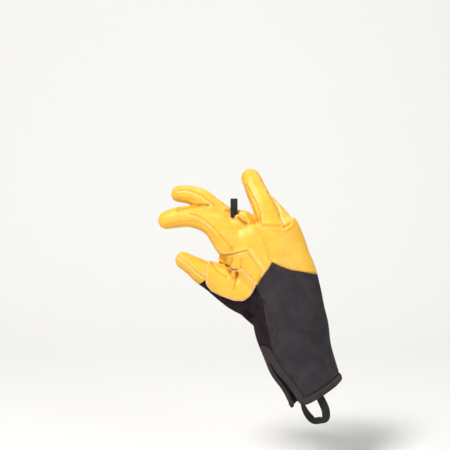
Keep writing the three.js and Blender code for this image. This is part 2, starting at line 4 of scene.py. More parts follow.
import bpy
import numpy as np
from mathutils.bvhtree import BVHTree
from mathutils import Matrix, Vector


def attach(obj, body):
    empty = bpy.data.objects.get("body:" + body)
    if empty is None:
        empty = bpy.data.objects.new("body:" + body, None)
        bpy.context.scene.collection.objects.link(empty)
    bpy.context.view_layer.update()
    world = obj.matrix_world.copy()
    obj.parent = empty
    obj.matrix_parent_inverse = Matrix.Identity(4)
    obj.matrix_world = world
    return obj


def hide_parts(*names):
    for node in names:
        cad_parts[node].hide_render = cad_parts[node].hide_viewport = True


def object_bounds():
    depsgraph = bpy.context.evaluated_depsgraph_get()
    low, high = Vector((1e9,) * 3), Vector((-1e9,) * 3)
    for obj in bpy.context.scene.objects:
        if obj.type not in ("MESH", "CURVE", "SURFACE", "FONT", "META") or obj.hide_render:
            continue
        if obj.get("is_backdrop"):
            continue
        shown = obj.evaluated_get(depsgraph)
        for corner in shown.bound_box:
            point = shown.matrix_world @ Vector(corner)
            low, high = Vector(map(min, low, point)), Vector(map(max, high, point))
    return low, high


# The climbing glove's looks, in millimetres until a mesh is written, X right, Z up, -Y towards the camera.
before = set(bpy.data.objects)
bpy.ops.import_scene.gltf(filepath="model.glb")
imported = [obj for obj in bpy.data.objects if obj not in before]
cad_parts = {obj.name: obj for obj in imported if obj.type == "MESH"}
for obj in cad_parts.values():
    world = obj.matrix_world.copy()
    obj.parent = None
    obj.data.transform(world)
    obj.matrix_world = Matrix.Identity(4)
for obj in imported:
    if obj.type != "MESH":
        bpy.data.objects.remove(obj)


def plainBounds():
    return json.loads(json.dumps(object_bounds(), default=lambda value: [float(x) for x in value]))


boundsBefore = plainBounds()
random = np.random.default_rng(7)
handLength = 195.0
cuffLength = 150.0
palmWidth = 104.0
voxel = 1.25

# Sections of each tube as in the CAD source: across, away, up, wide, deep, turn.
fingerRows = {
    "index": (28.0, [
        (0.04, 0.02, -0.35, 1.2, 0.95, 20), (-0.013, 0.005, -0.261, 1.571, 1.25, 30),
        (-0.098, 0.0, -0.169, 1.321, 1.143, 38), (-0.163, 0.005, -0.124, 1.143, 1.0, 42),
        (-0.228, 0.01, -0.098, 1.057, 0.929, 42), (-0.293, 0.015, -0.088, 1.021, 0.893, 42),
        (-0.365, 0.021, -0.094, 1.0, 0.857, 40), (-0.43, 0.026, -0.111, 0.914, 0.786, 38),
        (-0.495, 0.031, -0.13, 0.821, 0.714, 36)]),
    "middle": (26.0, [
        (0.13, 0.031, -0.306, 0.9, 0.9, 20), (0.072, 0.036, -0.228, 1.154, 1.231, 25),
        (0.0, 0.046, -0.156, 1.154, 1.154, 32), (-0.075, 0.056, -0.088, 1.115, 1.077, 38),
        (-0.153, 0.062, -0.026, 1.062, 1.0, 40), (-0.221, 0.067, 0.029, 1.015, 0.923, 40),
        (-0.287, 0.072, 0.049, 0.946, 0.885, 40), (-0.345, 0.077, 0.055, 0.885, 0.846, 38),
        (-0.414, 0.082, 0.065, 0.808, 0.731, 36)]),
    "ring": (28.0, [
        (0.28, 0.026, -0.28, 0.9, 0.9, 10), (0.254, 0.021, -0.189, 1.143, 1.143, 10),
        (0.221, 0.036, -0.091, 1.086, 1.0, 10), (0.179, 0.067, 0.007, 1.036, 0.929, 10),
        (0.143, 0.108, 0.085, 0.971, 0.893, 10), (0.114, 0.149, 0.15, 0.9, 0.821, 10),
        (0.088, 0.19, 0.208, 0.786, 0.714, 10)]),
    "little": (25.0, [
        (0.36, 0.035, -0.28, 0.8, 0.8, 5), (0.345, 0.067, -0.189, 1.12, 1.12, 5),
        (0.303, 0.118, -0.111, 1.04, 1.04, 5), (0.247, 0.179, -0.046, 1.0, 0.96, 5),
        (0.202, 0.241, -0.007, 0.96, 0.88, 5), (0.163, 0.297, 0.02, 0.8, 0.76, 5)]),
    "thumb": (27.0, [
        (0.22, 0.045, -0.68, 1.7, 1.1, 0), (0.085, 0.031, -0.612, 1.852, 1.481, 0),
        (-0.026, 0.015, -0.55, 1.704, 1.333, 0), (-0.132, 0.005, -0.49, 1.363, 1.111, 0),
        (-0.202, 0.0, -0.453, 1.148, 1.0, 0), (-0.251, 0.0, -0.42, 1.015, 0.926, 0),
        (-0.313, 0.0, -0.384, 0.904, 0.852, 0), (-0.381, 0.0, -0.348, 0.778, 0.741, 0)]),
}
wrist = np.array([0.326, 0.031, -0.528]) * handLength
cuffRows = [
    (0.289, 0.028, -0.959, 0.846, 0.462, 50), (0.209, 0.028, -0.773, 0.894, 0.471, 44),
    (0.124, 0.021, -0.586, 0.952, 0.49, 36), (0.071, 0.014, -0.417, 0.971, 0.5, 28),
    (0.027, 0.007, -0.231, 0.923, 0.481, 22)]
palmRows = [
    (0.326, 0.031, -0.528, 0.837, 0.423, 16), (0.247, 0.026, -0.384, 0.942, 0.404, 12),
    (0.182, 0.021, -0.254, 1.0, 0.385, 10), (0.156, 0.021, -0.202, 0.95, 0.35, 10),
    (0.132, 0.026, -0.145, 0.72, 0.26, 10)]
fingerRings = 90
palmRings = 180
mm = 0.001  # metres in a millimetre


def catmull(rows, count):
    # The cubic through the rows at even parameter steps, the ends mirrored.
    n = len(rows)
    padded = np.concatenate([[2 * rows[0] - rows[1]], rows, [2 * rows[-1] - rows[-2]]])
    t = np.linspace(0, n - 1, count)
    i = np.clip(t.astype(int), 0, n - 2)
    f = (t - i)[:, None]
    a, b, c, d = padded[i], padded[i + 1], padded[i + 2], padded[i + 3]
    squared = (2 * a - 5 * b + 4 * c - d) * f ** 2
    cubed = (3 * b - a - 3 * c + d) * f ** 3
    return 0.5 * (2 * b + (c - a) * f + squared + cubed)


def unit(vectors):
    # Vectors divided by their lengths.
    return vectors / np.maximum(np.linalg.norm(vectors, axis=-1, keepdims=True), 1e-9)


def tubeOf(centres, girths, count):
    # Frames along a tube: front is -Y less its part along the tube, turned by the section's angle.
    centre = catmull(centres, count)
    girth = catmull(girths, count)
    along = unit(np.gradient(centre, axis=0))
    toward = np.array([0.0, -1.0, 0.0])
    front = unit(toward - along * (along @ toward)[:, None])
    side = np.cross(along, front)
    cosine = np.cos(np.radians(girth[:, 2]))[:, None]
    sine = np.sin(np.radians(girth[:, 2]))[:, None]
    distance = np.concatenate([[0], np.cumsum(np.linalg.norm(np.diff(centre, axis=0), axis=1))])
    return {
        "centre": centre, "along": along, "side": side * cosine - front * sine,
        "front": front * cosine + side * sine, "wide": girth[:, 0], "deep": girth[:, 1], "distance": distance}


def fingerTube(name):
    # Centres are in hand lengths, half widths and half depths in shares of half the finger's own width.
    width, rows = fingerRows[name]
    table = np.array(rows)
    girths = np.column_stack([table[:, 3] * width / 2, table[:, 4] * width / 2, table[:, 5]])
    return tubeOf(table[:, :3] * handLength, girths, fingerRings)


def palmTubeOf():
    # Cuff and palm in one tube: the cuff's rows in cuff lengths from the wrist, the palm's in hand lengths.
    cuff = np.array(cuffRows)
    palm = np.array(palmRows)
    centres = np.concatenate([cuff[:, :3] * cuffLength + wrist, palm[:, :3] * handLength])
    rows = np.concatenate([cuff, palm])
    girths = np.column_stack([rows[:, 3] * palmWidth / 2, rows[:, 4] * palmWidth / 2, rows[:, 5]])
    return tubeOf(centres, girths, palmRings)


tubes = {name: fingerTube(name) for name in fingerRows}
palm = palmTubeOf()
palmTubeLength = palm["distance"][-1]


def gridFaces(rings, around, start):
    # Quads between neighbouring rings of vertices, closed round each ring.
    ring = np.arange(rings - 1)[:, None]
    step = np.arange(around)[None]
    a = start + ring * around + step
    b = start + ring * around + (step + 1) % around
    return np.stack([a, b, b + around, a + around], -1).reshape(-1, 4)


def tubePoints(tube, around, power, rounded):
    # Ring points: centre + side * wide * cos + front * deep * sin, each to 2 / power, and a rounded far end.
    angle = np.linspace(0, 2 * np.pi, around, endpoint=False)
    cosine = np.sign(np.cos(angle)) * np.abs(np.cos(angle)) ** (2 / power)
    sine = np.sign(np.sin(angle)) * np.abs(np.sin(angle)) ** (2 / power)
    share = np.ones(len(tube["wide"]))
    if rounded:
        smallest = 0.0004  # square of the last ring's share, so that it doesn't close to a point
        left = (tube["distance"][-1] - tube["distance"]) / tube["wide"][-1]
        share = np.where(left < 1, np.sqrt(np.clip(1 - (1 - left) ** 2, smallest, 1)), 1)
    across = tube["side"][:, None] * (tube["wide"] * share)[:, None, None] * cosine[None, :, None]
    depth = tube["front"][:, None] * (tube["deep"] * share)[:, None, None] * sine[None, :, None]
    return (tube["centre"][:, None] + across + depth).reshape(-1, 3)


def rawObject(name, parts):
    # One object of closed tubes, before they are merged into one skin.
    mesh = bpy.data.meshes.new(name)
    points, faces = [], []
    start = 0
    for ringPoints, around in parts:
        rings = len(ringPoints) // around
        faces += gridFaces(rings, around, start).tolist()
        faces.append(list(range(start, start + around))[::-1])
        faces.append(list(range(start + (rings - 1) * around, start + rings * around)))
        points.append(ringPoints)
        start += len(ringPoints)
    mesh.from_pydata(np.concatenate(points).tolist(), [], faces)
    made = bpy.data.objects.new(name, mesh)
    bpy.context.scene.collection.objects.link(made)
    return made


def ballPoints(centre, radii, rings, around):
    # Rings of an ellipsoid: centre + radii * (sin lift cos turn, sin lift sin turn, -cos lift).
    pole = 0.04  # how far from the poles, in radians, the first and last ring lie
    lift = np.linspace(pole, np.pi - pole, rings)[:, None]
    turn = np.linspace(0, 2 * np.pi, around, endpoint=False)[None]
    x = np.sin(lift) * np.cos(turn)
    y = np.sin(lift) * np.sin(turn)
    z = -np.cos(lift) * np.ones_like(turn)
    return (np.stack([x, y, z], -1) * radii + centre).reshape(-1, 3)


picture = {"pointSize": 1.27, "loopAcross": 234, "loopDown": 203}


def toMm(pairs):
    # Picture places as millimetres right of the hang loop and above it.
    table = np.array(pairs, float)
    across = (table[:, 0] - picture["loopAcross"]) * picture["pointSize"]
    return np.column_stack([across, (picture["loopDown"] - table[:, 1]) * picture["pointSize"]])


def onHand(pairs):
    # Places given in hand lengths.
    return np.array(pairs, float) * handLength


# Forms of the tubes and what joins them: the lump below the hang loop, placed in hand lengths, and the web
# between thumb and forefinger and the gusset's swell, placed in the picture.
sleeveForm = {"around": 64, "power": 2.15, "beyondHem": 6.0}
fingerForm = {"around": 40, "power": 2.05}
lump = {"at": (0.045, 0.03, -0.135), "radii": (19.5, 15.5, 17.5), "rings": 24, "around": 32}
web = {"at": (227, 259.5), "away": 6.0, "radii": (11.0, 9.0, 10.0), "rings": 18, "around": 28}
swell = {
    "line": [(236, 300), (243, 307.5), (250.5, 315), (258, 323), (264, 334)], "away": 8.0,
    "girth": (7.0, 9.5, 9.5, 9.0, 6.0), "power": 2.0, "rings": 40, "around": 24}


def mergedSkin():
    # All tubes joined and remeshed into one outer skin, as triangles.
    around = sleeveForm["around"]
    sleeve = tubePoints(palm, around, sleeveForm["power"], False)
    beyondHem = sleeve[:around] - palm["along"][0] * sleeveForm["beyondHem"]
    parts = [(np.concatenate([beyondHem, sleeve]), around)]
    around = fingerForm["around"]
    parts += [(tubePoints(tube, around, fingerForm["power"], True), around) for tube in tubes.values()]
    webAcross, webUp = toMm([web["at"]])[0]
    lumpCentre = np.array(lump["at"]) * handLength
    for ball, centre in ((lump, lumpCentre), (web, np.array([webAcross, web["away"], webUp]))):
        around = ball["around"]
        parts.append((ballPoints(centre, np.array(ball["radii"]), ball["rings"], around), around))
    line = toMm(swell["line"])
    girth = np.array(swell["girth"])
    centres = np.column_stack([line[:, 0], np.full(len(line), swell["away"]), line[:, 1]])
    swellTube = tubeOf(centres, np.column_stack([girth, girth, np.zeros(len(line))]), swell["rings"])
    parts.append((tubePoints(swellTube, swell["around"], swell["power"], False), swell["around"]))
    raw = rawObject("rawTubes", parts)
    remesh = raw.modifiers.new("skin", "REMESH")
    remesh.mode = "VOXEL"
    remesh.voxel_size = voxel
    graph = bpy.context.evaluated_depsgraph_get()
    skin = raw.evaluated_get(graph).to_mesh()
    skin.calc_loop_triangles()
    points = np.empty(len(skin.vertices) * 3)
    skin.vertices.foreach_get("co", points)
    faces = np.empty(len(skin.loop_triangles) * 3, np.int64)
    skin.loop_triangles.foreach_get("vertices", faces)
    mesh = raw.data
    bpy.data.objects.remove(raw)
    bpy.data.meshes.remove(mesh)
    return points.reshape(-1, 3), faces.reshape(-1, 3)


def edgesOf(faces):
    # Each pair of joined vertices once.
    pairs = np.sort(np.concatenate([faces[:, [0, 1]], faces[:, [1, 2]], faces[:, [2, 0]]]), axis=1)
    return np.unique(pairs, axis=0)


def smoothed(values, edges, rounds, amount):
    # Each round moves a vertex's value towards the mean of its neighbours.
    count = np.bincount(edges.ravel(), minlength=len(values))[:, None]
    out = values.copy()
    for _ in range(rounds):
        total = np.zeros_like(out)
        for axis in range(out.shape[1]):
            total[:, axis] = np.bincount(edges[:, 0], out[edges[:, 1], axis], len(out))
            total[:, axis] += np.bincount(edges[:, 1], out[edges[:, 0], axis], len(out))
        out += amount * (total / count - out)
    return out


def normalsOf(points, faces):
    # Area-weighted face normals summed at each vertex.
    a, b, c = points[faces[:, 0]], points[faces[:, 1]], points[faces[:, 2]]
    flat = np.cross(b - a, c - a)
    total = np.stack([
        sum(np.bincount(faces[:, corner], flat[:, axis], len(points)) for corner in range(3))
        for axis in range(3)], -1)
    return unit(total)


points, faces = mergedSkin()
edges = edgesOf(faces)
points = smoothed(points, edges, rounds=7, amount=0.5)
normals = normalsOf(points, faces)
print("skin", len(points), "vertices", len(faces), "triangles")


# Seam lines and folds as seen from the back of the hand, in hand lengths, cuff lengths or picture places.
thumbSeam = onHand([
    (-0.117, -0.294), (-0.095, -0.32), (-0.065, -0.332), (-0.009, -0.324), (0.085, -0.3),
    (0.111, -0.339), (0.148, -0.395), (0.178, -0.436), (0.153, -0.528)])
thumbBall = onHand([
    (0.153, -0.528), (0.13, -0.57), (0.1, -0.605), (0.059, -0.632), (0.0, -0.63), (-0.088, -0.598),
    (-0.147, -0.57), (-0.182, -0.526)])
thumbSplit = onHand([
    (-0.366, -0.343), (-0.304, -0.384), (-0.25, -0.435), (-0.194, -0.477)])
cuffTop = onHand([
    (0.153, -0.528), (0.173, -0.479), (0.198, -0.45), (0.223, -0.421), (0.246, -0.377), (0.306, -0.408),
    (0.369, -0.431), (0.431, -0.444), (0.493, -0.458), (0.62, -0.49)])
foreRoll = onHand([
    (-0.282, -0.07), (-0.245, -0.079), (-0.207, -0.096), (-0.17, -0.125), (-0.132, -0.16),
    (-0.095, -0.198), (-0.057, -0.238), (-0.025, -0.279), (-0.009, -0.305)])
panelSeam = np.array([(-0.236, -0.006), (-0.18, -0.146), (-0.156, -0.298), (-0.03, -0.53)])
panelSeam = panelSeam * cuffLength + wrist[[0, 2]]
patchEdge = toMm([
    (210, 259.5), (209.5, 261.5), (207, 264.6), (206, 277), (206.8, 283.3), (211.5, 289.6), (220.5, 294),
    (234, 299), (243, 299.5), (249.3, 295), (253.8, 288.7), (255.4, 283.5), (252, 278), (244.8, 270.3),
    (241.2, 268), (237.6, 269), (233.5, 269.5), (228.8, 266.4), (222.4, 263.8), (216, 261.5)])
thumbTop = toMm([(209, 259.5), (216, 262), (222.4, 264.5), (228.8, 267.2), (233.5, 270)])
foreTop = toMm([(176.5, 209.6), (182.7, 207.6), (190.8, 206.2), (201, 205.6), (208.7, 205.4)])
middleRidge = toMm([
    (178, 191), (185, 190), (190.7, 191.3), (196.5, 193.6), (202, 196), (207.4, 200), (215, 206)])
ringSeam = toMm([(247, 186), (252, 196), (256.8, 203.6), (260.6, 213.5), (261, 224)])
littleSeam = toMm([(268, 192), (273.6, 202), (278.5, 209.6), (281, 218), (283.6, 224), (285.5, 227)])
ringCrease = toMm([(262, 226), (270, 225.5), (278, 226), (284, 227.5), (290, 224)])
valley = toMm([
    (250.4, 216), (254, 219.5), (256.8, 222.3), (260.6, 230), (265.7, 238.3), (269.5, 248.5), (271.5, 257.4)])
foreCrease = toMm([(209, 205), (217, 208), (225, 213.7), (232.6, 218.3), (239, 220.6), (247.6, 225.8)])
lumpFold = toMm([(226, 210.5), (231, 212), (237, 212.5), (243, 215), (247, 220)])
lumpRecess = toMm([(238.5, 217.5), (242.5, 221), (246.5, 223.5)])
foreWrinkles = [toMm([(177 + 3 * k, 206), (178.5 + 3 * k, 213)]) for k in range(3)]
thumbFolds = [
    toMm([(212, 264), (219, 272), (227, 277)]), toMm([(226, 266), (230, 272), (236, 281)]),
    toMm([(236, 270), (237, 277), (234, 289)]), toMm([(241.5, 259), (240.8, 267)]),
    toMm([(232, 259), (230, 265)])]
gussetFolds = [
    toMm([(252, 318), (258, 306)]), toMm([(246, 312), (257, 320), (262, 330)]),
    toMm([(263, 300), (268, 312), (272, 330)])]


def lineDistance(flat, line):
    # Distance to a polyline and the length along it of the nearest place.
    best = np.full(len(flat), 1e9)
    place = np.zeros(len(flat))
    run = 0.0
    for a, b in zip(line[:-1], line[1:]):
        step = b - a
        length = np.linalg.norm(step)
        share = np.clip(((flat - a) @ step) / length ** 2, 0, 1)
        away = np.linalg.norm(flat - a - share[:, None] * step, axis=1)
        nearer = away < best
        best = np.where(nearer, away, best)
        place = np.where(nearer, run + share * length, place)
        run += length
    return best, place


def resampled(line, spacing):
    # Places at even steps along a line, the first half a step in.
    run = np.concatenate([[0], np.cumsum(np.linalg.norm(np.diff(line, axis=0), axis=1))])
    at = np.arange(spacing / 2, run[-1], spacing)
    return np.column_stack([np.interp(at, run, line[:, 0]), np.interp(at, run, line[:, 1])])


def shifted(line, offset):
    # The line moved sideways by offset, corners rounded by averaging the directions.
    direction = unit(np.gradient(line, axis=0))
    return line + np.column_stack([-direction[:, 1], direction[:, 0]]) * offset


def outlineField(flat, outline):
    # Signed distance to a closed outline, negative inside.
    closed = np.concatenate([outline, outline[:1]])
    away, _ = lineDistance(flat, closed)
    inside = np.zeros(len(flat), bool)
    for a, b in zip(closed[:-1], closed[1:]):
        crosses = (a[1] > flat[:, 1]) != (b[1] > flat[:, 1])
        height = b[1] - a[1] if abs(b[1] - a[1]) > 1e-9 else 1e-9
        at = a[0] + (flat[:, 1] - a[1]) * (b[0] - a[0]) / height
        inside ^= crosses & (flat[:, 0] < at)
    return np.where(inside, -away, away)


def alongTube(tube, where):
    # The nearest station of a tube, with the place across it in shares of its half width and depth.
    station = np.zeros(len(where), int)
    atOnce = 20000  # places worked out together, to save memory
    reachShare = 0.05  # how much plain distance counts beside the distance along the tube
    for first in range(0, len(where), atOnce):
        apart = where[first:first + atOnce][:, None] - tube["centre"][None]
        offset = np.abs((apart * tube["along"][None]).sum(2))
        station[first:first + atOnce] = np.argmin(offset + reachShare * np.linalg.norm(apart, axis=2), axis=1)
    away = where - tube["centre"][station]
    across = (away * tube["side"][station]).sum(1) / tube["wide"][station]
    depth = (away * tube["front"][station]).sum(1) / tube["deep"][station]
    slip = (away * tube["along"][station]).sum(1)
    return {"station": station, "run": tube["distance"][station] + slip, "across": across, "depth": depth}


def softStep(values, low, high):
    # 0 up to low, 1 from high on, and share^2 * (3 - 2 * share) between them.
    share = np.clip((values - low) / (high - low), 0, 1)
    return share * share * (3 - 2 * share)


def bell(distance, width):
    # 1 at no distance, falling as exp(-(distance / width)^2).
    return np.exp(-(distance / width) ** 2)


def waves(where, look):
    # A sum of plane waves in seeded random directions, from about -height to height.
    total = np.zeros(len(where))
    for _ in range(look["count"]):
        direction = unit(random.normal(size=3))
        length = random.uniform(look["shortest"], look["longest"])
        total += np.sin(where @ direction * 2 * np.pi / length + random.uniform(0, 2 * np.pi))
    return look["height"] * (total / math.sqrt(look["count"]))


# Where each vertex lies: on the cuff's tube, and how much it faces the back of the hand, where relief begins
# and is full at these parts of the normal towards the camera.
facing = {"begins": 0.1, "full": 0.45}
onPalm = alongTube(palm, points)
angle = np.degrees(np.arctan2(onPalm["depth"], onPalm["across"])) % 360
halfDeep = palm["deep"][onPalm["station"]]
backFacing = softStep(-normals[:, 1], facing["begins"], facing["full"])
flatPlace = points[:, [0, 2]]

# Slit: an open wedge from the hem up. Its near edge is in degrees round the cuff, as is the sector around it.
slit = {"edge": 167.0, "height": 78.0, "gape": 11.0, "sectorFrom": 90, "sectorTo": 250}
farAway = 99.0
belowSlitTop = slit["height"] - onPalm["run"]
arc = np.radians(angle - slit["edge"]) * halfDeep
gapHere = np.clip(slit["gape"] * (1 - onPalm["run"] / slit["height"]), 0, None)
besideSlit = np.where(belowSlitTop > 0, np.maximum(-arc, arc - gapHere), np.hypot(belowSlitTop, arc))
besideSlit = np.where((angle > slit["sectorFrom"]) & (angle < slit["sectorTo"]), besideSlit, farAway)


def groove(line, depth, width, ridge=0.0, spread=2.4, pucker=0.0, pitch=5.0, shadeTint=0.3):
    # Minus a bell of depth and width along a line, plus a bell-shaped ridge at spread, plus sine gathers.
    away, place = lineDistance(flatPlace, line)
    # Painted shade: darker in the groove, by a bell across the line.
    paintedShade[:] = np.maximum(paintedShade, shadeTint * bell(away, 0.9 * width) * backFacing)
    sunk = -depth * bell(away, width)
    raised = ridge * bell(away - spread, 0.6 * spread)
    gathers = pucker * np.sin(2 * np.pi * place / pitch) * bell(away, 1.7 * spread)
    return (sunk + raised + gathers) * backFacing


def lip(line, offset, height, width, pale=0.7, ripple=0.15, pitch=5.0, spacing=1.5):
    # A raised edge of leather beside a seam: a bell of rippled height, paler partly from stretch and partly a
    # painted highlight.
    away, place = lineDistance(flatPlace, shifted(resampled(line, spacing), offset))
    shape = bell(away, width) * backFacing
    stretchAndHighlight[:] = np.maximum(stretchAndHighlight, pale * shape)
    return (height + ripple * np.sin(2 * np.pi * place / pitch)) * shape


# Relief of seams, folds and creases in the leather. Seam rows: line, depth, width, ridge.
relief = np.zeros(len(points))
# Masks for the colour: painted shade in grooves and folds, and a pale mark on raised edges, partly from
# stretch and partly a painted highlight.
paintedShade = np.zeros(len(points))
stretchAndHighlight = np.zeros(len(points))
seamLook = {"spread": 2.8, "pucker": 0.18, "shadeTint": 0.42}
for line, depth, width, ridge in [
    (thumbSeam, 1.3, 1.2, 0.5), (foreRoll, 1.6, 1.2, 0.8), (middleRidge, 1.4, 1.2, 0.7),
    (ringSeam, 1.5, 1.2, 0.7), (littleSeam, 1.7, 1.3, 0.7), (thumbSplit, 1.3, 1.2, 0.6),
]:
    relief += groove(line, depth, width, ridge, **seamLook)
# Rows of raised edges beside them, pale partly from stretch and partly a painted highlight: line, offset,
# height, width.
for line, offset, height, width in [
    (thumbSeam, 1.7, 1.0, 1.0), (foreRoll[:6], -1.8, 0.7, 1.1), (middleRidge, -1.9, 0.7, 1.2),
    (ringSeam, 1.9, 0.6, 1.1), (littleSeam, 1.9, 0.7, 1.1), (thumbSplit, 1.8, 0.6, 1.0),
    (thumbSplit, -1.8, 0.5, 1.0), (thumbSeam[4:], 4.6, 0.6, 1.0),
]:
    relief += lip(line, offset, height, width)
# Each fold darkens its groove with painted shade, up to its own share.
folds = [
    {"line": thumbTop, "depth": 1.3, "width": 1.4, "ridge": 0.5, "spread": 3.0, "shadeTint": 0.5},
    {"line": foreTop, "depth": 1.8, "width": 1.5, "ridge": 0.4, "spread": 3.2, "shadeTint": 0.6},
    {"line": cuffTop, "depth": 0.9, "width": 1.1, "ridge": 0.4, "pucker": 0.1, "shadeTint": 0.7},
    {"line": thumbBall, "depth": 0.8, "width": 1.1, "ridge": 0.4, "pucker": 0.15},
    {"line": panelSeam, "depth": 0.9, "width": 1.1, "ridge": 0.4, "pucker": 0.2, "pitch": 8},
    {"line": ringCrease, "depth": 1.1, "width": 1.6, "ridge": 1.0, "spread": 3.4, "shadeTint": 0.15},
    {"line": valley, "depth": 2.4, "width": 4.2, "ridge": 0.5, "spread": 8.0, "shadeTint": 0.12},
    {"line": foreCrease, "depth": 1.2, "width": 2.6, "shadeTint": 0.2},
    {"line": lumpFold, "depth": 1.5, "width": 1.5, "ridge": 0.6, "spread": 3.2},
    {"line": lumpRecess, "depth": 3.0, "width": 1.9, "ridge": 0.6, "spread": 3.4, "shadeTint": 0.95}]
foreWrinkle = {"depth": 0.8, "width": 0.9, "ridge": 0.5, "spread": 1.7}
thumbFold = {"depth": 1.3, "width": 1.9, "ridge": 0.5, "spread": 4.0, "shadeTint": 0.4}
gussetFold = {"depth": 1.6, "width": 2.2, "ridge": 0.8, "spread": 4.5}
folds += [foreWrinkle | {"line": line} for line in foreWrinkles]
folds += [thumbFold | {"line": line} for line in thumbFolds]
for fold in folds:
    relief += groove(**fold)

# Hollows in the folds of the thumb's base, darkened with painted shade.
hollows = [
    {"at": (230.5, 271.0), "across": 3.0, "tall": 3.6, "deep": 2.6},
    {"at": (236.6, 274.5), "across": 3.0, "tall": 6.0, "deep": 4.0},
]
hollowShade = 1.3
for hollow in hollows:
    centre = toMm([hollow["at"]])[0]
    apart = (flatPlace - centre) / (hollow["across"], hollow["tall"])
    shape = np.exp(-(apart ** 2).sum(1)) * backFacing
    relief -= hollow["deep"] * shape
    paintedShade = np.maximum(paintedShade, hollowShade * shape)

# Side seams of each finger, where the strips between the fingers are sewn in, and the palm's outer edge. They
# lie at half the tube's depth, begin at shares of its length, and show less on the back of the hand.
sideSeam = {
    "depth": 0.9, "width": 1.0, "level": 0.5, "nearSkin": 0.12, "begins": 0.3, "full": 0.45, "shadeTint": 0.8,
    "sideFrom": 0.6, "sideFull": 0.8, "lessOnBack": 0.6, "palmFull": 0.88, "palmEnds": 0.93}
seamRelief = np.zeros(len(points))
for tube in tubes.values():
    place = alongTube(tube, points)
    begins, full = sideSeam["begins"] * tube["distance"][-1], sideSeam["full"] * tube["distance"][-1]
    radial = np.hypot(place["across"], place["depth"])
    near = bell(radial - 1, sideSeam["nearSkin"]) * softStep(place["run"], begins, full)
    offLine = np.abs(np.abs(place["depth"]) - sideSeam["level"]) * tube["deep"][place["station"]]
    sided = softStep(np.abs(place["across"]), sideSeam["sideFrom"], sideSeam["sideFull"])
    shown = 1 - sideSeam["lessOnBack"] * backFacing
    seamRelief -= sideSeam["depth"] * bell(offLine, sideSeam["width"]) * near * sided * shown
offEdge = np.abs(onPalm["depth"]) * halfDeep
outerSide = softStep(onPalm["across"], sideSeam["sideFrom"], sideSeam["sideFull"])
palmFull, palmEnds = sideSeam["palmFull"] * palmTubeLength, sideSeam["palmEnds"] * palmTubeLength
outerSeam = bell(offEdge, sideSeam["width"]) * outerSide
seamRelief -= sideSeam["depth"] * outerSeam * softStep(-onPalm["run"], -palmEnds, -palmFull)
relief += seamRelief

# The shell's edge at hem and slit with a round corner, and the tape along it: a rounded band, with the
# cloth drawn in beside it.
edging = {
    "width": 7.6, "corner": 8.0, "puff": 0.9, "drawnIn": 1.1, "beside": 0.5, "reach": 1.3, "shade": 0.9,
    "lift": 0.9, "wall": 3.6, "weaveReach": 30}
pastHem = edging["corner"] - onPalm["run"]
pastSlit = edging["corner"] - besideSlit
shellCut = np.maximum(pastHem, pastSlit) - edging["corner"]
shellCut = np.where((pastHem > 0) & (pastSlit > 0), np.hypot(pastHem, pastSlit) - edging["corner"], shellCut)
tapeBand = -shellCut - edging["width"]
bandShare = np.clip(-tapeBand / edging["width"], 0, 1)
relief += edging["puff"] * np.sqrt(np.clip(4 * bandShare * (1 - bandShare), 0, 1))
# Painted shade on the cloth beside the tape, where it is drawn in.
besideTape = bell(tapeBand - edging["beside"], edging["reach"])
relief -= edging["drawnIn"] * besideTape
paintedShade = np.maximum(paintedShade, edging["shade"] * besideTape)

# The little finger's side of hand and cuff hangs a little fuller than its tube, up to near the knuckles.
fuller = {"height": 2.6, "sideFrom": 0.45, "sideFull": 0.95, "fades": 10, "full": 60}
besideLittle = softStep(onPalm["across"], fuller["sideFrom"], fuller["sideFull"])
belowKnuckles = softStep(palmTubeLength - onPalm["run"], fuller["fades"], fuller["full"])
relief += fuller["height"] * besideLittle * belowKnuckles

# Loose folds: small ones in the leather, wide ones all over, ones drawn long in the cloth, and the gusset's
# own. Cloth gives way to leather between two heights above the hem.
clothTo, leatherFrom = 128, 150
smallFolds = {"height": 0.14, "count": 14, "shortest": 9, "longest": 22}
wideFolds = {"height": 0.4, "count": 8, "shortest": 30, "longest": 60}
clothFolds = {"height": 0.9, "count": 6, "shortest": 30, "longest": 50}
drawnLong = [1, 1, 0.5]
leatherPart = softStep(onPalm["run"], clothTo, leatherFrom)
relief += waves(points, smallFolds) * leatherPart + waves(points, wideFolds)
relief += waves(points * drawnLong, clothFolds) * (1 - leatherPart)
for line in gussetFolds:
    relief += groove(line, **gussetFold)
points = points + normals * relief[:, None]
points = smoothed(points, edges, rounds=1, amount=0.35)
normals = normalsOf(points, faces)
# Painted shade along the side seams' grooves, up to the seam's share.
paintedShade = np.maximum(paintedShade, np.clip(-seamRelief, 0, sideSeam["shadeTint"]))
flatPlace = points[:, [0, 2]]
print("relief", round(float(relief.min()), 2), round(float(relief.max()), 2))

# Regions, each a signed field that is negative inside. The palm's leather ends in a tongue down the cuff,
# between two angles from its outer side. Its end lies above the hem, and its top below the wrist, by shares
# of the cuff's length.
tongueForm = {"from": -62, "to": 6, "end": 0.38, "top": 0.05, "girth": 0.8}
besideBackCloth = onHand([(1.2, -0.49), (1.2, -2.0), (-1.0, -2.0), (-1.0, -0.528)])
backCloth = outlineField(flatPlace, np.concatenate([cuffTop, besideBackCloth]))
palmTop = wrist[2] - tongueForm["top"] * cuffLength
signedAngle = (angle + 180) % 360 - 180
pastTongue = np.maximum(tongueForm["from"] - signedAngle, signedAngle - tongueForm["to"])
tongueSide = pastTongue * np.radians(1) * palm["wide"][onPalm["station"]] * tongueForm["girth"]
tongue = np.maximum(tongueSide, cuffLength * tongueForm["end"] - onPalm["run"])
palmCloth = np.maximum(points[:, 2] - palmTop, -tongue)
backSide = -onPalm["depth"] * halfDeep
cloth = np.minimum(np.maximum(backCloth, backSide), np.maximum(palmCloth, -backSide))
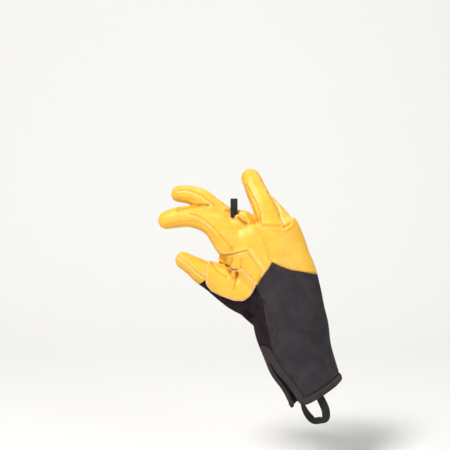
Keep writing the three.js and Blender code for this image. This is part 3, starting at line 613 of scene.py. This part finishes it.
gussetFront = toMm([(269.5, 336), (271.5, 348), (262, 388)])
pastThumb = [(-120.0, -260.0), (-120.0, -110.0)]
gussetTop = onHand([(-0.24, -0.54), (-0.187, -0.495)])
gussetLine = np.concatenate([panelSeam[:-1], gussetFront, pastThumb, gussetTop, thumbBall[::-1]])
gussetField = outlineField(flatPlace, gussetLine)
underThumb = np.maximum(points[:, 2] - palmTop, flatPlace[:, 0] - panelSeam[0, 0])
gusset = np.maximum(np.minimum(gussetField, np.maximum(underThumb, -backSide)), belowSlitTop)
leather = np.maximum(np.maximum(-cloth, -gusset), shellCut)
panels = np.maximum(np.maximum(cloth, -gusset), shellCut)
softshell = np.maximum(gusset, shellCut)
tape = np.maximum(tapeBand, shellCut)
offBack = softStep(normals[:, 1], 0.0, 0.1) * 4 - 1  # from -1 on the back of the hand to 3 on the palm side
patch = np.maximum(outlineField(flatPlace, patchEdge), offBack)


def clipped(points, faces, field, values):
    # Keeps the part where the field is negative, cutting triangles where it crosses zero.
    inside = field < 0
    count = inside[faces].sum(1)
    margin = 0.06  # a cut stays this share of an edge away from its ends

    def turned(chosen, odd):
        # Triangles turned so that the vertex whose side is odd comes first.
        first = np.argmax(inside[chosen] == odd, axis=1)
        order = (first[:, None] + np.arange(3)) % 3
        return np.take_along_axis(chosen, order, axis=1)

    one = turned(faces[count == 1], True)
    two = turned(faces[count == 2], False)
    pairs = np.concatenate([one[:, [0, 1]], one[:, [0, 2]], two[:, [0, 1]], two[:, [0, 2]]])
    unique, back = np.unique(np.sort(pairs, axis=1), axis=0, return_inverse=True)
    back = back.ravel() + len(points)
    low, high = unique[:, 0], unique[:, 1]
    share = np.clip(field[low] / (field[low] - field[high]), margin, 1 - margin)
    allPoints = np.concatenate([points, points[low] + (points[high] - points[low]) * share[:, None]])
    allValues = {k: np.concatenate([v, v[low] + (v[high] - v[low]) * share]) for k, v in values.items()}
    n, m = len(one), len(two)
    ab, ac = back[:n], back[n:2 * n]
    db, dc = back[2 * n:2 * n + m], back[2 * n + m:]
    kept = np.concatenate([
        faces[count == 3], np.column_stack([one[:, 0], ab, ac]),
        np.column_stack([two[:, 1], two[:, 2], dc]), np.column_stack([two[:, 1], dc, db])])
    used, renumbered = np.unique(kept, return_inverse=True)
    return allPoints[used], renumbered.reshape(-1, 3), {k: v[used] for k, v in allValues.items()}


def makeObject(name, points, faces, values, materials):
    # A mesh object in metres with float attributes on its vertices.
    mesh = bpy.data.meshes.new(name)
    faces = np.asarray(faces)
    corners = faces.shape[1]
    mesh.vertices.add(len(points))
    mesh.vertices.foreach_set("co", (np.asarray(points) * mm).ravel())
    mesh.loops.add(faces.size)
    mesh.loops.foreach_set("vertex_index", faces.ravel().astype(np.int32))
    mesh.polygons.add(len(faces))
    mesh.polygons.foreach_set("loop_start", np.arange(0, faces.size, corners, dtype=np.int32))
    mesh.polygons.foreach_set("use_smooth", np.ones(len(faces), bool))
    mesh.update(calc_edges=True)
    for key, value in values.items():
        mesh.attributes.new(key, "FLOAT", "POINT").data.foreach_set("value", np.asarray(value, np.float32))
    for material in materials:
        mesh.materials.append(material)
    made = bpy.data.objects.new(name, mesh)
    bpy.context.scene.collection.objects.link(made)
    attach(made, "root")
    return made


def thicken(made, thickness, rim=0):
    # A wall inwards from the surface. Its cut edge takes the material slot rim places further on.
    solid = made.modifiers.new("wall", "SOLIDIFY")
    solid.thickness = thickness * mm
    solid.offset = -1.0
    solid.material_offset_rim = rim


# Shader parts shared by the materials.
def socketGroup(name, inputs, outputs):
    # A node group with named inputs (label, kind, value) and outputs (label, kind), and its two end nodes.
    group = bpy.data.node_groups.new(name, "ShaderNodeTree")
    for label, kind, value in inputs:
        socket = group.interface.new_socket(label, in_out="INPUT", socket_type=kind)
        if value is not None:
            socket.default_value = value
    for label, kind in outputs:
        group.interface.new_socket(label, in_out="OUTPUT", socket_type=kind)
    return group, group.nodes.new("NodeGroupInput"), group.nodes.new("NodeGroupOutput")


def put(tree, kind, settings=None, sockets=None):
    # A new node with its settings. A socket takes a plain value or a link from another node's socket.
    node = tree.nodes.new(kind)
    for key, value in (settings or {}).items():
        setattr(node, key, value)
    for key, value in (sockets or {}).items():
        if isinstance(value, bpy.types.NodeSocket):
            tree.links.new(value, node.inputs[key])
        else:
            node.inputs[key].default_value = value
    return node


def grainGroup():
    # Leather grain: the mean of fine cells and fine noise as Height, and wide noise as Cloud.
    group, given, result = socketGroup(
        "leatherGrain", [("Place", "NodeSocketVector", None), ("Size", "NodeSocketFloat", 700.0)],
        [("Height", "NodeSocketFloat"), ("Cloud", "NodeSocketFloat")])
    cells = put(group, "ShaderNodeTexVoronoi", {"feature": "SMOOTH_F1"}, {
        "Vector": given.outputs["Place"], "Scale": given.outputs["Size"], "Smoothness": 0.6})
    cloud = put(group, "ShaderNodeTexNoise", {}, {
        "Vector": given.outputs["Place"], "Scale": 60.0, "Detail": 5.0, "Roughness": 0.6})
    fine = put(group, "ShaderNodeTexNoise", {}, {
        "Vector": given.outputs["Place"], "Scale": 260.0, "Detail": 3.0, "Roughness": 0.6})
    both = put(group, "ShaderNodeMath", {"operation": "ADD"}, {
        0: cells.outputs["Distance"], 1: fine.outputs["Fac"]})
    half = put(group, "ShaderNodeMath", {"operation": "MULTIPLY"}, {0: both.outputs[0], 1: 0.5})
    group.links.new(half.outputs[0], result.inputs["Height"])
    group.links.new(cloud.outputs["Fac"], result.inputs["Cloud"])
    return group


def weaveGroup():
    # Crossed threads: 0.5 + 0.5 * sin(turns along) * sin(turns across), a turn being one thread's pitch.
    lengthInputs = [(label, "NodeSocketFloat", 0.0) for label in ("Along", "Across")]
    group, given, result = socketGroup(
        "weave", lengthInputs + [("Pitch", "NodeSocketFloat", 0.0012)], [("Height", "NodeSocketFloat")])

    def threads(length):
        turns = put(group, "ShaderNodeMath", {"operation": "DIVIDE"}, {0: length, 1: given.outputs["Pitch"]})
        angle = put(group, "ShaderNodeMath", {"operation": "MULTIPLY"}, {0: turns.outputs[0], 1: 2 * math.pi})
        return put(group, "ShaderNodeMath", {"operation": "SINE"}, {0: angle.outputs[0]}).outputs[0]

    crossed = put(group, "ShaderNodeMath", {"operation": "MULTIPLY"}, {
        0: threads(given.outputs["Along"]), 1: threads(given.outputs["Across"])})
    height = put(group, "ShaderNodeMath", {"operation": "MULTIPLY_ADD"}, {
        0: crossed.outputs[0], 1: 0.5, 2: 0.5})
    group.links.new(height.outputs[0], result.inputs["Height"])
    return group


grain = grainGroup()
weave = weaveGroup()


def newMaterial(name):
    # A material with its node tree and its Principled shader.
    material = bpy.data.materials.new(name)
    material.use_nodes = True
    tree = material.node_tree
    return material, tree, tree.nodes["Principled BSDF"]


def meshValue(tree, name):
    # A float attribute of the mesh.
    return put(tree, "ShaderNodeAttribute", {"attribute_name": name}).outputs["Fac"]


def mixed(tree, factor, first, second, mode="MIX"):
    # first * (1 - factor) + second * factor, or with MULTIPLY the share factor of their product.
    settings = {"data_type": "RGBA", "blend_type": mode}
    return put(tree, "ShaderNodeMix", settings, {0: factor, 6: first, 7: second}).outputs[2]


def ramped(tree, value, low, high, to=(0.0, 1.0)):
    # A value's place between low and high, spread over the two ends of to.
    node = put(tree, "ShaderNodeMapRange", {}, {
        "Value": value, "From Min": low, "From Max": high, "To Min": to[0], "To Max": to[1]})
    return node.outputs["Result"]


def bumped(tree, shader, height, strength, distance):
    # Height as relief in the shader's normal.
    bump = put(tree, "ShaderNodeBump", {}, {"Height": height, "Strength": strength, "Distance": distance})
    tree.links.new(bump.outputs["Normal"], shader.inputs["Normal"])


def leatherMaterial(name, look):
    # Base mixed with light by clouds, painted shade in creases, pale on raised edges partly from stretch and
    # partly a painted highlight, pale cut rims, flecked by grain.
    material, tree, shader = newMaterial(name)
    place = put(tree, "ShaderNodeTexCoord").outputs["Object"]
    skin = put(tree, "ShaderNodeGroup", {"node_tree": grain}, {"Place": place, "Size": look["grainSize"]})
    tone = mixed(tree, ramped(tree, skin.outputs["Cloud"], *look["clouds"]), look["base"], look["light"])
    # Painted shade in creases and grooves.
    tone = mixed(tree, ramped(tree, meshValue(tree, "shadeMask"), *look["creases"]), tone, look["shade"])
    # Pale raised edges: partly stretch, partly a painted highlight.
    tone = mixed(tree, meshValue(tree, "stretchAndHighlight"), tone, look["stretchHighlightColour"])
    tone = mixed(tree, meshValue(tree, "rim"), tone, look["cutEdge"])
    fleck = ramped(tree, skin.outputs["Height"], *look["flecks"], (look["fleckTone"], 1.0))
    grey = put(tree, "ShaderNodeCombineColor", {}, {0: fleck, 1: fleck, 2: fleck}).outputs[0]
    tree.links.new(mixed(tree, 1.0, tone, grey, "MULTIPLY"), shader.inputs["Base Color"])
    shader.inputs["Roughness"].default_value = look["rough"]
    shader.inputs["Specular IOR Level"].default_value = look["gloss"]
    bumped(tree, shader, skin.outputs["Height"], look["bump"], look["bumpHeight"])
    return material


allCloth = {
    "threads": (0.2, 0.8), "clouds": (0.35, 0.7), "cloudShare": 0.5, "creases": (0.1, 1.0),
    "bumpHeight": 0.0003}


def clothMaterial(name, look):
    # Painted shade between the threads to base on them, mixed with light by clouds, painted shade in creases.
    material, tree, shader = newMaterial(name)
    threads = put(tree, "ShaderNodeGroup", {"node_tree": weave}, {
        "Along": meshValue(tree, "along"), "Across": meshValue(tree, "across"), "Pitch": look["pitch"]})
    place = put(tree, "ShaderNodeTexCoord").outputs["Object"]
    cloud = put(tree, "ShaderNodeTexNoise", {}, {"Vector": place, "Scale": look["cloud"], "Detail": 4.0})
    onThread = ramped(tree, threads.outputs["Height"], *allCloth["threads"])
    clouded = ramped(tree, cloud.outputs["Fac"], *allCloth["clouds"], (0.0, allCloth["cloudShare"]))
    shadeShare = ramped(tree, meshValue(tree, "shadeMask"), *allCloth["creases"], (0.0, look["paintedShade"]))
    # Darker between the threads: painted shade in the weave's hollows.
    tone = mixed(tree, onThread, look["shade"], look["base"])
    tone = mixed(tree, clouded, tone, look["light"])
    # Painted shade in creases.
    tone = mixed(tree, shadeShare, tone, look["shade"])
    tree.links.new(tone, shader.inputs["Base Color"])
    shader.inputs["Roughness"].default_value = look["rough"]
    shader.inputs["Specular IOR Level"].default_value = look["gloss"]
    bumped(tree, shader, threads.outputs["Height"], look["bump"], allCloth["bumpHeight"])
    return material


def plainMaterial(name, color, rough):
    # One colour, mottled by noise with three quarters of itself.
    material, tree, shader = newMaterial(name)
    place = put(tree, "ShaderNodeTexCoord").outputs["Object"]
    noise = put(tree, "ShaderNodeTexNoise", {}, {"Vector": place, "Scale": 500.0, "Detail": 2.0})
    darker = tuple(0.75 * c for c in color[:3]) + (1.0,)
    tree.links.new(mixed(tree, noise.outputs["Fac"], darker, color), shader.inputs["Base Color"])
    shader.inputs["Roughness"].default_value = rough
    return material


# Leather colours: shade is the painted shade for creases, and the pale edge tone is partly stretch, partly a
# painted highlight.
yellow = leatherMaterial("yellowLeather", {
    "base": (0.82, 0.435, 0.036, 1), "light": (0.86, 0.5, 0.058, 1), "shade": (0.42, 0.13, 0.006, 1),
    "stretchHighlightColour": (0.93, 0.63, 0.19, 1), "cutEdge": (0.8, 0.5, 0.29, 1),
    "clouds": (0.35, 0.68), "creases": (0.05, 1.0), "flecks": (0.25, 0.6), "fleckTone": 0.86,
    "grainSize": 620.0, "rough": 0.44, "gloss": 0.35, "bump": 0.2, "bumpHeight": 0.0004})
rawEdge = plainMaterial("rawEdge", (0.83, 0.56, 0.46, 1), 0.85)
# In each cloth look, shade is painted shade, between the threads and in creases.
charcoal = clothMaterial("charcoalCloth", {
    "base": (0.036, 0.03, 0.035, 1), "shade": (0.014, 0.012, 0.015, 1), "light": (0.048, 0.042, 0.047, 1),
    "paintedShade": 0.8, "pitch": 0.0024, "cloud": 70.0, "rough": 0.8, "gloss": 0.2, "bump": 0.6})
knit = clothMaterial("darkSoftshell", {
    "base": (0.019, 0.01, 0.014, 1), "shade": (0.007, 0.004, 0.006, 1), "light": (0.028, 0.017, 0.022, 1),
    "paintedShade": 0.5, "pitch": 0.0016, "cloud": 40.0, "rough": 0.9, "gloss": 0.15, "bump": 0.4})
binding = clothMaterial("greyTape", {
    "base": (0.05, 0.037, 0.04, 1), "shade": (0.014, 0.01, 0.011, 1), "light": (0.06, 0.046, 0.049, 1),
    "paintedShade": 0.0, "pitch": 0.0019, "cloud": 90.0, "rough": 0.85, "gloss": 0.2, "bump": 0.9})
webbing = clothMaterial("blackWebbing", {
    "base": (0.013, 0.011, 0.012, 1), "shade": (0.004, 0.003, 0.004, 1), "light": (0.02, 0.017, 0.019, 1),
    "paintedShade": 0.0, "pitch": 0.0022, "cloud": 90.0, "rough": 0.7, "gloss": 0.3, "bump": 1.0})
paleThread = plainMaterial("yellowThread", (0.85, 0.52, 0.12, 1), 0.6)
print("materials done")

# Leather, panels and gusset: name, field, material, wall, the nodes they stand for and their slot.
girthShare = 1.35  # of the half depth, for the weave's length round the cuff
# Lengths along and round the cuff for the weave, and the masks of painted shade and of pale raised edges,
# partly a painted highlight.
lengths = {
    "along": onPalm["run"] * mm, "across": np.radians(angle) * halfDeep * girthShare * mm,
    "shadeMask": paintedShade, "stretchAndHighlight": stretchAndHighlight}
sections = [
    ("leatherSkin", leather, yellow, 1.5,
     ["back_leather", "palm_leather", "index_middle_fourchette", "middle_ring_fourchette",
      "ring_little_fourchette", "thumb_upper", "thumb_lower"], "yellow_leather"),
    ("cuffPanels", panels, charcoal, 1.8, ["cuff_back", "cuff_palm"], "charcoal_cloth"),
    ("cuffGusset", softshell, knit, 1.8, ["cuff_gusset"], "dark_softshell"),
]
for name, field, material, wall, nodes, slotName in sections:
    part = clipped(points, faces, field, lengths)
    piece = makeObject(name, *part, [material])
    thicken(piece, wall)
    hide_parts(*nodes)
    print(name, len(part[1]), "triangles")

# Second layer over the thumb's base, its cut edge showing pale from a little inside the patch's outline.
patchForm = {"lift": 1.7, "wall": 1.5, "paleFrom": -1.3, "paleFull": -0.7}
patchTop = points + normals * patchForm["lift"]
rim = softStep(outlineField(flatPlace, patchEdge), patchForm["paleFrom"], patchForm["paleFull"])
part = clipped(patchTop, faces, patch, lengths | {"rim": rim})
thumbPatch = makeObject("thumbPatch", *part, [yellow, rawEdge])
thicken(thumbPatch, patchForm["wall"], rim=1)
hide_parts("thumb_patch")

# Folded tape round the hem and the slit's edges, standing proud of the cloth on both faces.
acrossTape = (onPalm["run"] + np.clip(besideSlit, 0, edging["weaveReach"])) * mm
part = clipped(points + normals * edging["lift"], faces, tape, lengths | {"across": acrossTape})
hemTape = makeObject("hemBinding", *part, [binding])
thicken(hemTape, edging["wall"])
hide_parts("hem_binding")
print("patch and tape done")


def strapMesh(name, line, across, width, thickness):
    # A flat strap with soft edges: at each place of its line a ring of side * width / 2 * cos^0.35 and
    # front * thickness / 2 * sin^0.8.
    around = 16
    widthPower, thicknessPower = 0.35, 0.8
    along = unit(np.gradient(line, axis=0))
    front = unit(np.cross(across, along))
    side = np.cross(along, front)
    turn = np.linspace(0, 2 * np.pi, around, endpoint=False)
    x = np.sign(np.cos(turn)) * np.abs(np.cos(turn)) ** widthPower * width / 2
    y = np.sign(np.sin(turn)) * np.abs(np.sin(turn)) ** thicknessPower * thickness / 2
    ring = line[:, None] + side[:, None] * x[None, :, None] + front[:, None] * y[None, :, None]
    body = gridFaces(len(line), around, 0)
    last = around * (len(line) - 1)
    ends = np.array([[k, k + 1, around - 2 - k, around - 1 - k] for k in range(around // 2 - 1)])
    body = np.concatenate([body, ends[:, ::-1], ends + last])
    run = np.concatenate([[0], np.cumsum(np.linalg.norm(np.diff(line, axis=0), axis=1))])
    values = {"along": np.repeat(run, around) * mm, "across": np.tile(x, len(line)) * mm}
    return makeObject(name, ring.reshape(-1, 3), body, values, [webbing])


# Pull loop: both ends inside the hem, the loop hanging below it. Its limbs leave the hem at two angles round
# the cuff, and a limb's rows give the drop below the hem and the share of the way to the bottom's middle.
pull = {
    "back": 115, "palm": 250, "drop": 32.0, "limb": [(-9.0, 0), (3.2, 0), (19.2, 0), (29.4, 0.35)],
    "inset": 5.2, "width": 11.0, "thick": 1.6, "rings": 90, "faceAtHem": 0.25, "faceAtBottom": 0.75}
hem = {key: palm[key][0] for key in ("centre", "side", "front", "wide", "deep")}
hemDown = np.cross(hem["side"], hem["front"])
hemDown = hemDown * np.sign(-hemDown[2])


def strapPlace(degrees, drop):
    # Hem's centre + side * (wide - inset) * cos + front * (deep - inset) * sin, and the drop below it.
    turn = math.radians(degrees)
    place = hem["centre"] + hem["side"] * (hem["wide"] - pull["inset"]) * math.cos(turn)
    place = place + hem["front"] * (hem["deep"] - pull["inset"]) * math.sin(turn)
    return place + hemDown * drop


def rimDirection(degrees, apart=5):
    # Along the rim: the step between the places a few degrees to each side.
    near, far = math.radians(degrees - apart), math.radians(degrees + apart)
    step = hem["side"] * hem["wide"] * (math.cos(near) - math.cos(far))
    return unit(step + hem["front"] * hem["deep"] * (math.sin(near) - math.sin(far)))


bottom = 0.5 * (strapPlace(pull["back"], pull["drop"]) + strapPlace(pull["palm"], pull["drop"]))


def limbPlaces(degrees):
    # Down one limb: the place at each drop * (1 - share) + the bottom * share.
    return [strapPlace(degrees, drop) * (1 - share) + bottom * share for drop, share in pull["limb"]]


pullPlaces = limbPlaces(pull["back"]) + [bottom] + limbPlaces(pull["palm"])[::-1]
pullLine = catmull(np.array(pullPlaces), pull["rings"])
blend = np.linspace(0, 1, pull["rings"])[:, None]
pullAcross = rimDirection(pull["back"]) * (1 - blend) - rimDirection(pull["palm"]) * blend
faceOut = unit(np.cross(unit(np.gradient(pullLine, axis=0)), [0.0, 1.0, 0.0]))
faceOut = faceOut * np.sign(faceOut[0] @ pullAcross[0])
faceShare = pull["faceAtHem"] + (pull["faceAtBottom"] - pull["faceAtHem"]) * np.sin(np.pi * blend)
pullAcross = pullAcross * (1 - faceShare) + faceOut * faceShare
pullLoop = strapMesh("pullLoop", pullLine, pullAcross, pull["width"], pull["thick"])
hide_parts("pull_loop")

# Hang loop, its ends sewn into the lump: half the loop's width, the heights up each limb, and the place
# beside its top.
hang = {
    "half": 5.2, "heights": (-18.0, -8.0, -2.0), "shoulder": (3.9, 3.4), "width": 9.0, "thick": 1.4,
    "rings": 60}
limb = [(0, hang["half"], height) for height in hang["heights"]] + [(0, *hang["shoulder"])]
hangPlaces = [(0, -y, z) for _, y, z in limb] + [(0, 0, hang["half"])] + limb[::-1]
hangLine = catmull(np.array(hangPlaces), hang["rings"])
hangAcross = np.tile([1.0, 0.0, 0.0], (hang["rings"], 1))
hangLoop = strapMesh("hangLoop", hangLine, hangAcross, hang["width"], hang["thick"])
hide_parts("hang_loop")
print("loops done")

# Stitches: small spindles laid on the skin beside the seams. They stop where two would lie further apart
# than the gap, which is counted in spacings.
stitch = {"spacing": 2.9, "length": 2.1, "radius": 0.34, "lift": 0.3, "gap": 2.2}
surface = BVHTree.FromPolygons(points.tolist(), faces.tolist())
patchSurface = BVHTree.FromPolygons(patchTop.tolist(), faces.tolist())


def onSurface(line, tree):
    # Where rays from the camera's side meet the skin.
    rayStart = -150.0
    hits = [tree.ray_cast((x, rayStart, z), (0.0, 1.0, 0.0)) for x, z in line]
    found = [(hit[0], hit[1]) for hit in hits if hit[0] is not None]
    return np.array([f[0] for f in found]), np.array([f[1] for f in found])


def spindles(centres, directions, normals, length, radius):
    # A six-sided spindle at each centre: rings at shares of the length with shares of the radius.
    shares = np.array([(-0.5, 0.25), (-0.32, 0.9), (0.0, 1.0), (0.32, 0.9), (0.5, 0.25)])
    sides = 6
    turn = np.linspace(0, 2 * np.pi, sides, endpoint=False)
    side = unit(np.cross(directions, normals))
    lift = np.cross(side, directions)
    core = centres[:, None] + directions[:, None] * (shares[:, 0] * length)[None, :, None]
    ring = side[:, None] * np.cos(turn)[None, :, None] + lift[:, None] * np.sin(turn)[None, :, None]
    body = core[:, :, None] + ring[:, None] * (shares[:, 1] * radius)[None, :, None, None]
    hexagon = np.array([[0, 1, 2, 3], [0, 3, 4, 5]])
    last = sides * (len(shares) - 1)
    each = np.concatenate([gridFaces(len(shares), sides, 0), hexagon[:, [0, 3, 2, 1]], hexagon + last])
    starts = np.arange(len(centres)) * sides * len(shares)
    return body.reshape(-1, 3), (each[None] + starts[:, None, None]).reshape(-1, 4)


def stitchRows(name, rows, material):
    # One object of all stitches: spindles at even steps beside each line, lifted by a share of their radius.
    bodies, quads, start = [], [], 0
    for line, offset, tree in rows:
        place, normal = onSurface(resampled(shifted(line, offset), stitch["spacing"]), tree)
        step = np.gradient(place, axis=0)
        near = np.linalg.norm(step, axis=1) < stitch["spacing"] * stitch["gap"]
        place, normal, step = place[near], normal[near], step[near]
        lifted = place + normal * stitch["radius"] * stitch["lift"]
        body, quad = spindles(lifted, unit(step), normal, stitch["length"], stitch["radius"])
        bodies.append(body)
        quads.append(quad + start)
        start += len(body)
    made = makeObject(name, np.concatenate(bodies), np.concatenate(quads), {}, [material])


leatherRows = []
for line, offsets in [
    (thumbSeam[:-1], (1.9, -1.9)), (foreRoll, (-1.9,)), (middleRidge, (1.8,)), (ringSeam, (-1.8,)),
    (littleSeam, (-1.8,)), (thumbSplit, (1.8, -1.8)), (cuffTop[1:-1], (1.8, 4.2)),
]:
    leatherRows += [(resampled(line, 1.0), offset, surface) for offset in offsets]
patchLoop = np.concatenate([patchEdge, patchEdge[:1]])
leatherRows.append((resampled(patchLoop, 1.0), 2.4, patchSurface))
stitchRows("leatherStitches", leatherRows, paleThread)
print("stitches done")

# Stage, in metres: a pale floor with a soft bend up behind.
stage = {
    "floor": -0.36, "front": -3.0, "bend": 0.9, "radius": 0.8, "top": 4.0, "half": 4.0, "firstTurn": 0.1,
    "floorSteps": 8, "bendSteps": 12, "color": (0.72, 0.72, 0.71, 1), "rough": 0.9}


def stageMesh():
    # Depth is straight to the bend, then bend + radius * sin. Height is floor + radius * (1 - cos) there.
    turn = np.linspace(stage["firstTurn"], np.pi / 2, stage["bendSteps"])
    depth = np.concatenate([
        np.linspace(stage["front"], stage["bend"], stage["floorSteps"]),
        stage["bend"] + stage["radius"] * np.sin(turn), [stage["bend"] + stage["radius"]]])
    height = stage["floor"] + np.concatenate([
        np.zeros(stage["floorSteps"]), stage["radius"] * (1 - np.cos(turn)), [stage["top"]]])
    x = np.array([-stage["half"], stage["half"]])
    grid = np.stack([np.tile(x, len(depth)), np.repeat(depth, 2), np.repeat(height, 2)], -1)
    a = np.arange(len(depth) - 1) * 2
    quads = np.stack([a, a + 1, a + 3, a + 2], -1)
    mesh = bpy.data.meshes.new("floor")
    mesh.from_pydata(grid.tolist(), [], quads.tolist())
    mesh.polygons.foreach_set("use_smooth", np.ones(len(quads), bool))
    floor = bpy.data.objects.new("floor", mesh)
    material, _, shader = newMaterial("paleFloor")
    shader.inputs["Base Color"].default_value = stage["color"]
    shader.inputs["Roughness"].default_value = stage["rough"]
    mesh.materials.append(material)
    bpy.context.scene.collection.objects.link(floor)
    floor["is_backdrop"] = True


stageMesh()


def aimed(made, place, target):
    # Turned so that its -Z points at the target: tilted by acos(-z / length), swung by atan2(-x, y).
    made.location = place
    toward = np.array(target) - np.array(place)
    made.rotation_euler = (
        math.acos(-toward[2] / np.linalg.norm(toward)), 0.0, math.atan2(-toward[0], toward[1]))
    bpy.context.scene.collection.objects.link(made)
    return made


# Lights, in metres and watts, all aimed at the glove.
lights = [
    {"name": "key", "place": (-1.3, -2.0, 2.6), "size": 0.8, "power": 150.0, "color": (1.0, 0.98, 0.94)},
    {"name": "fill", "place": (1.8, -2.2, 0.6), "size": 1.2, "power": 27.0, "color": (0.95, 0.97, 1.0)},
    {"name": "top", "place": (0.6, 0.6, 2.0), "size": 1.2, "power": 16.0, "color": (1.0, 1.0, 1.0)}]
lightTarget = (0.02, 0.0, -0.08)
for row in lights:
    light = bpy.data.lights.new(row["name"], "AREA")
    light.size = row["size"]
    light.energy = row["power"]
    light.color = row["color"]
    aimed(bpy.data.objects.new(row["name"], light), row["place"], lightTarget)
world = bpy.data.worlds.new("studio")
world.use_nodes = True
world.node_tree.nodes["Background"].inputs["Color"].default_value = (0.85, 0.87, 0.9, 1)
world.node_tree.nodes["Background"].inputs["Strength"].default_value = 0.2
bpy.context.scene.world = world

# The plain view transform keeps the leather's strong yellow, which the default one turns pale.
bpy.context.scene.view_settings.view_transform = "Standard"

# Camera at the photo's angle, a little above the glove, with a long lens. Sensor and lens are in mm, the
# rest in metres: seenWidth is the photo's width at the glove.
view = {
    "lens": 100.0, "sensor": 36.0, "seenWidth": 0.5715, "degreesUp": 5.0, "middle": (-0.0114, 0.0, -0.0279),
    "farClip": 30.0}
away = view["seenWidth"] * view["lens"] / view["sensor"]
lift = math.radians(view["degreesUp"])
camera = bpy.data.cameras.new("camera")
camera.lens = view["lens"]
camera.clip_end = view["farClip"]
place = np.array(view["middle"]) + away * np.array([0.0, -math.cos(lift), math.sin(lift)])
bpy.context.scene.camera = aimed(bpy.data.objects.new("camera", camera), tuple(place), view["middle"])
{"before": boundsBefore, "after": plainBounds()}
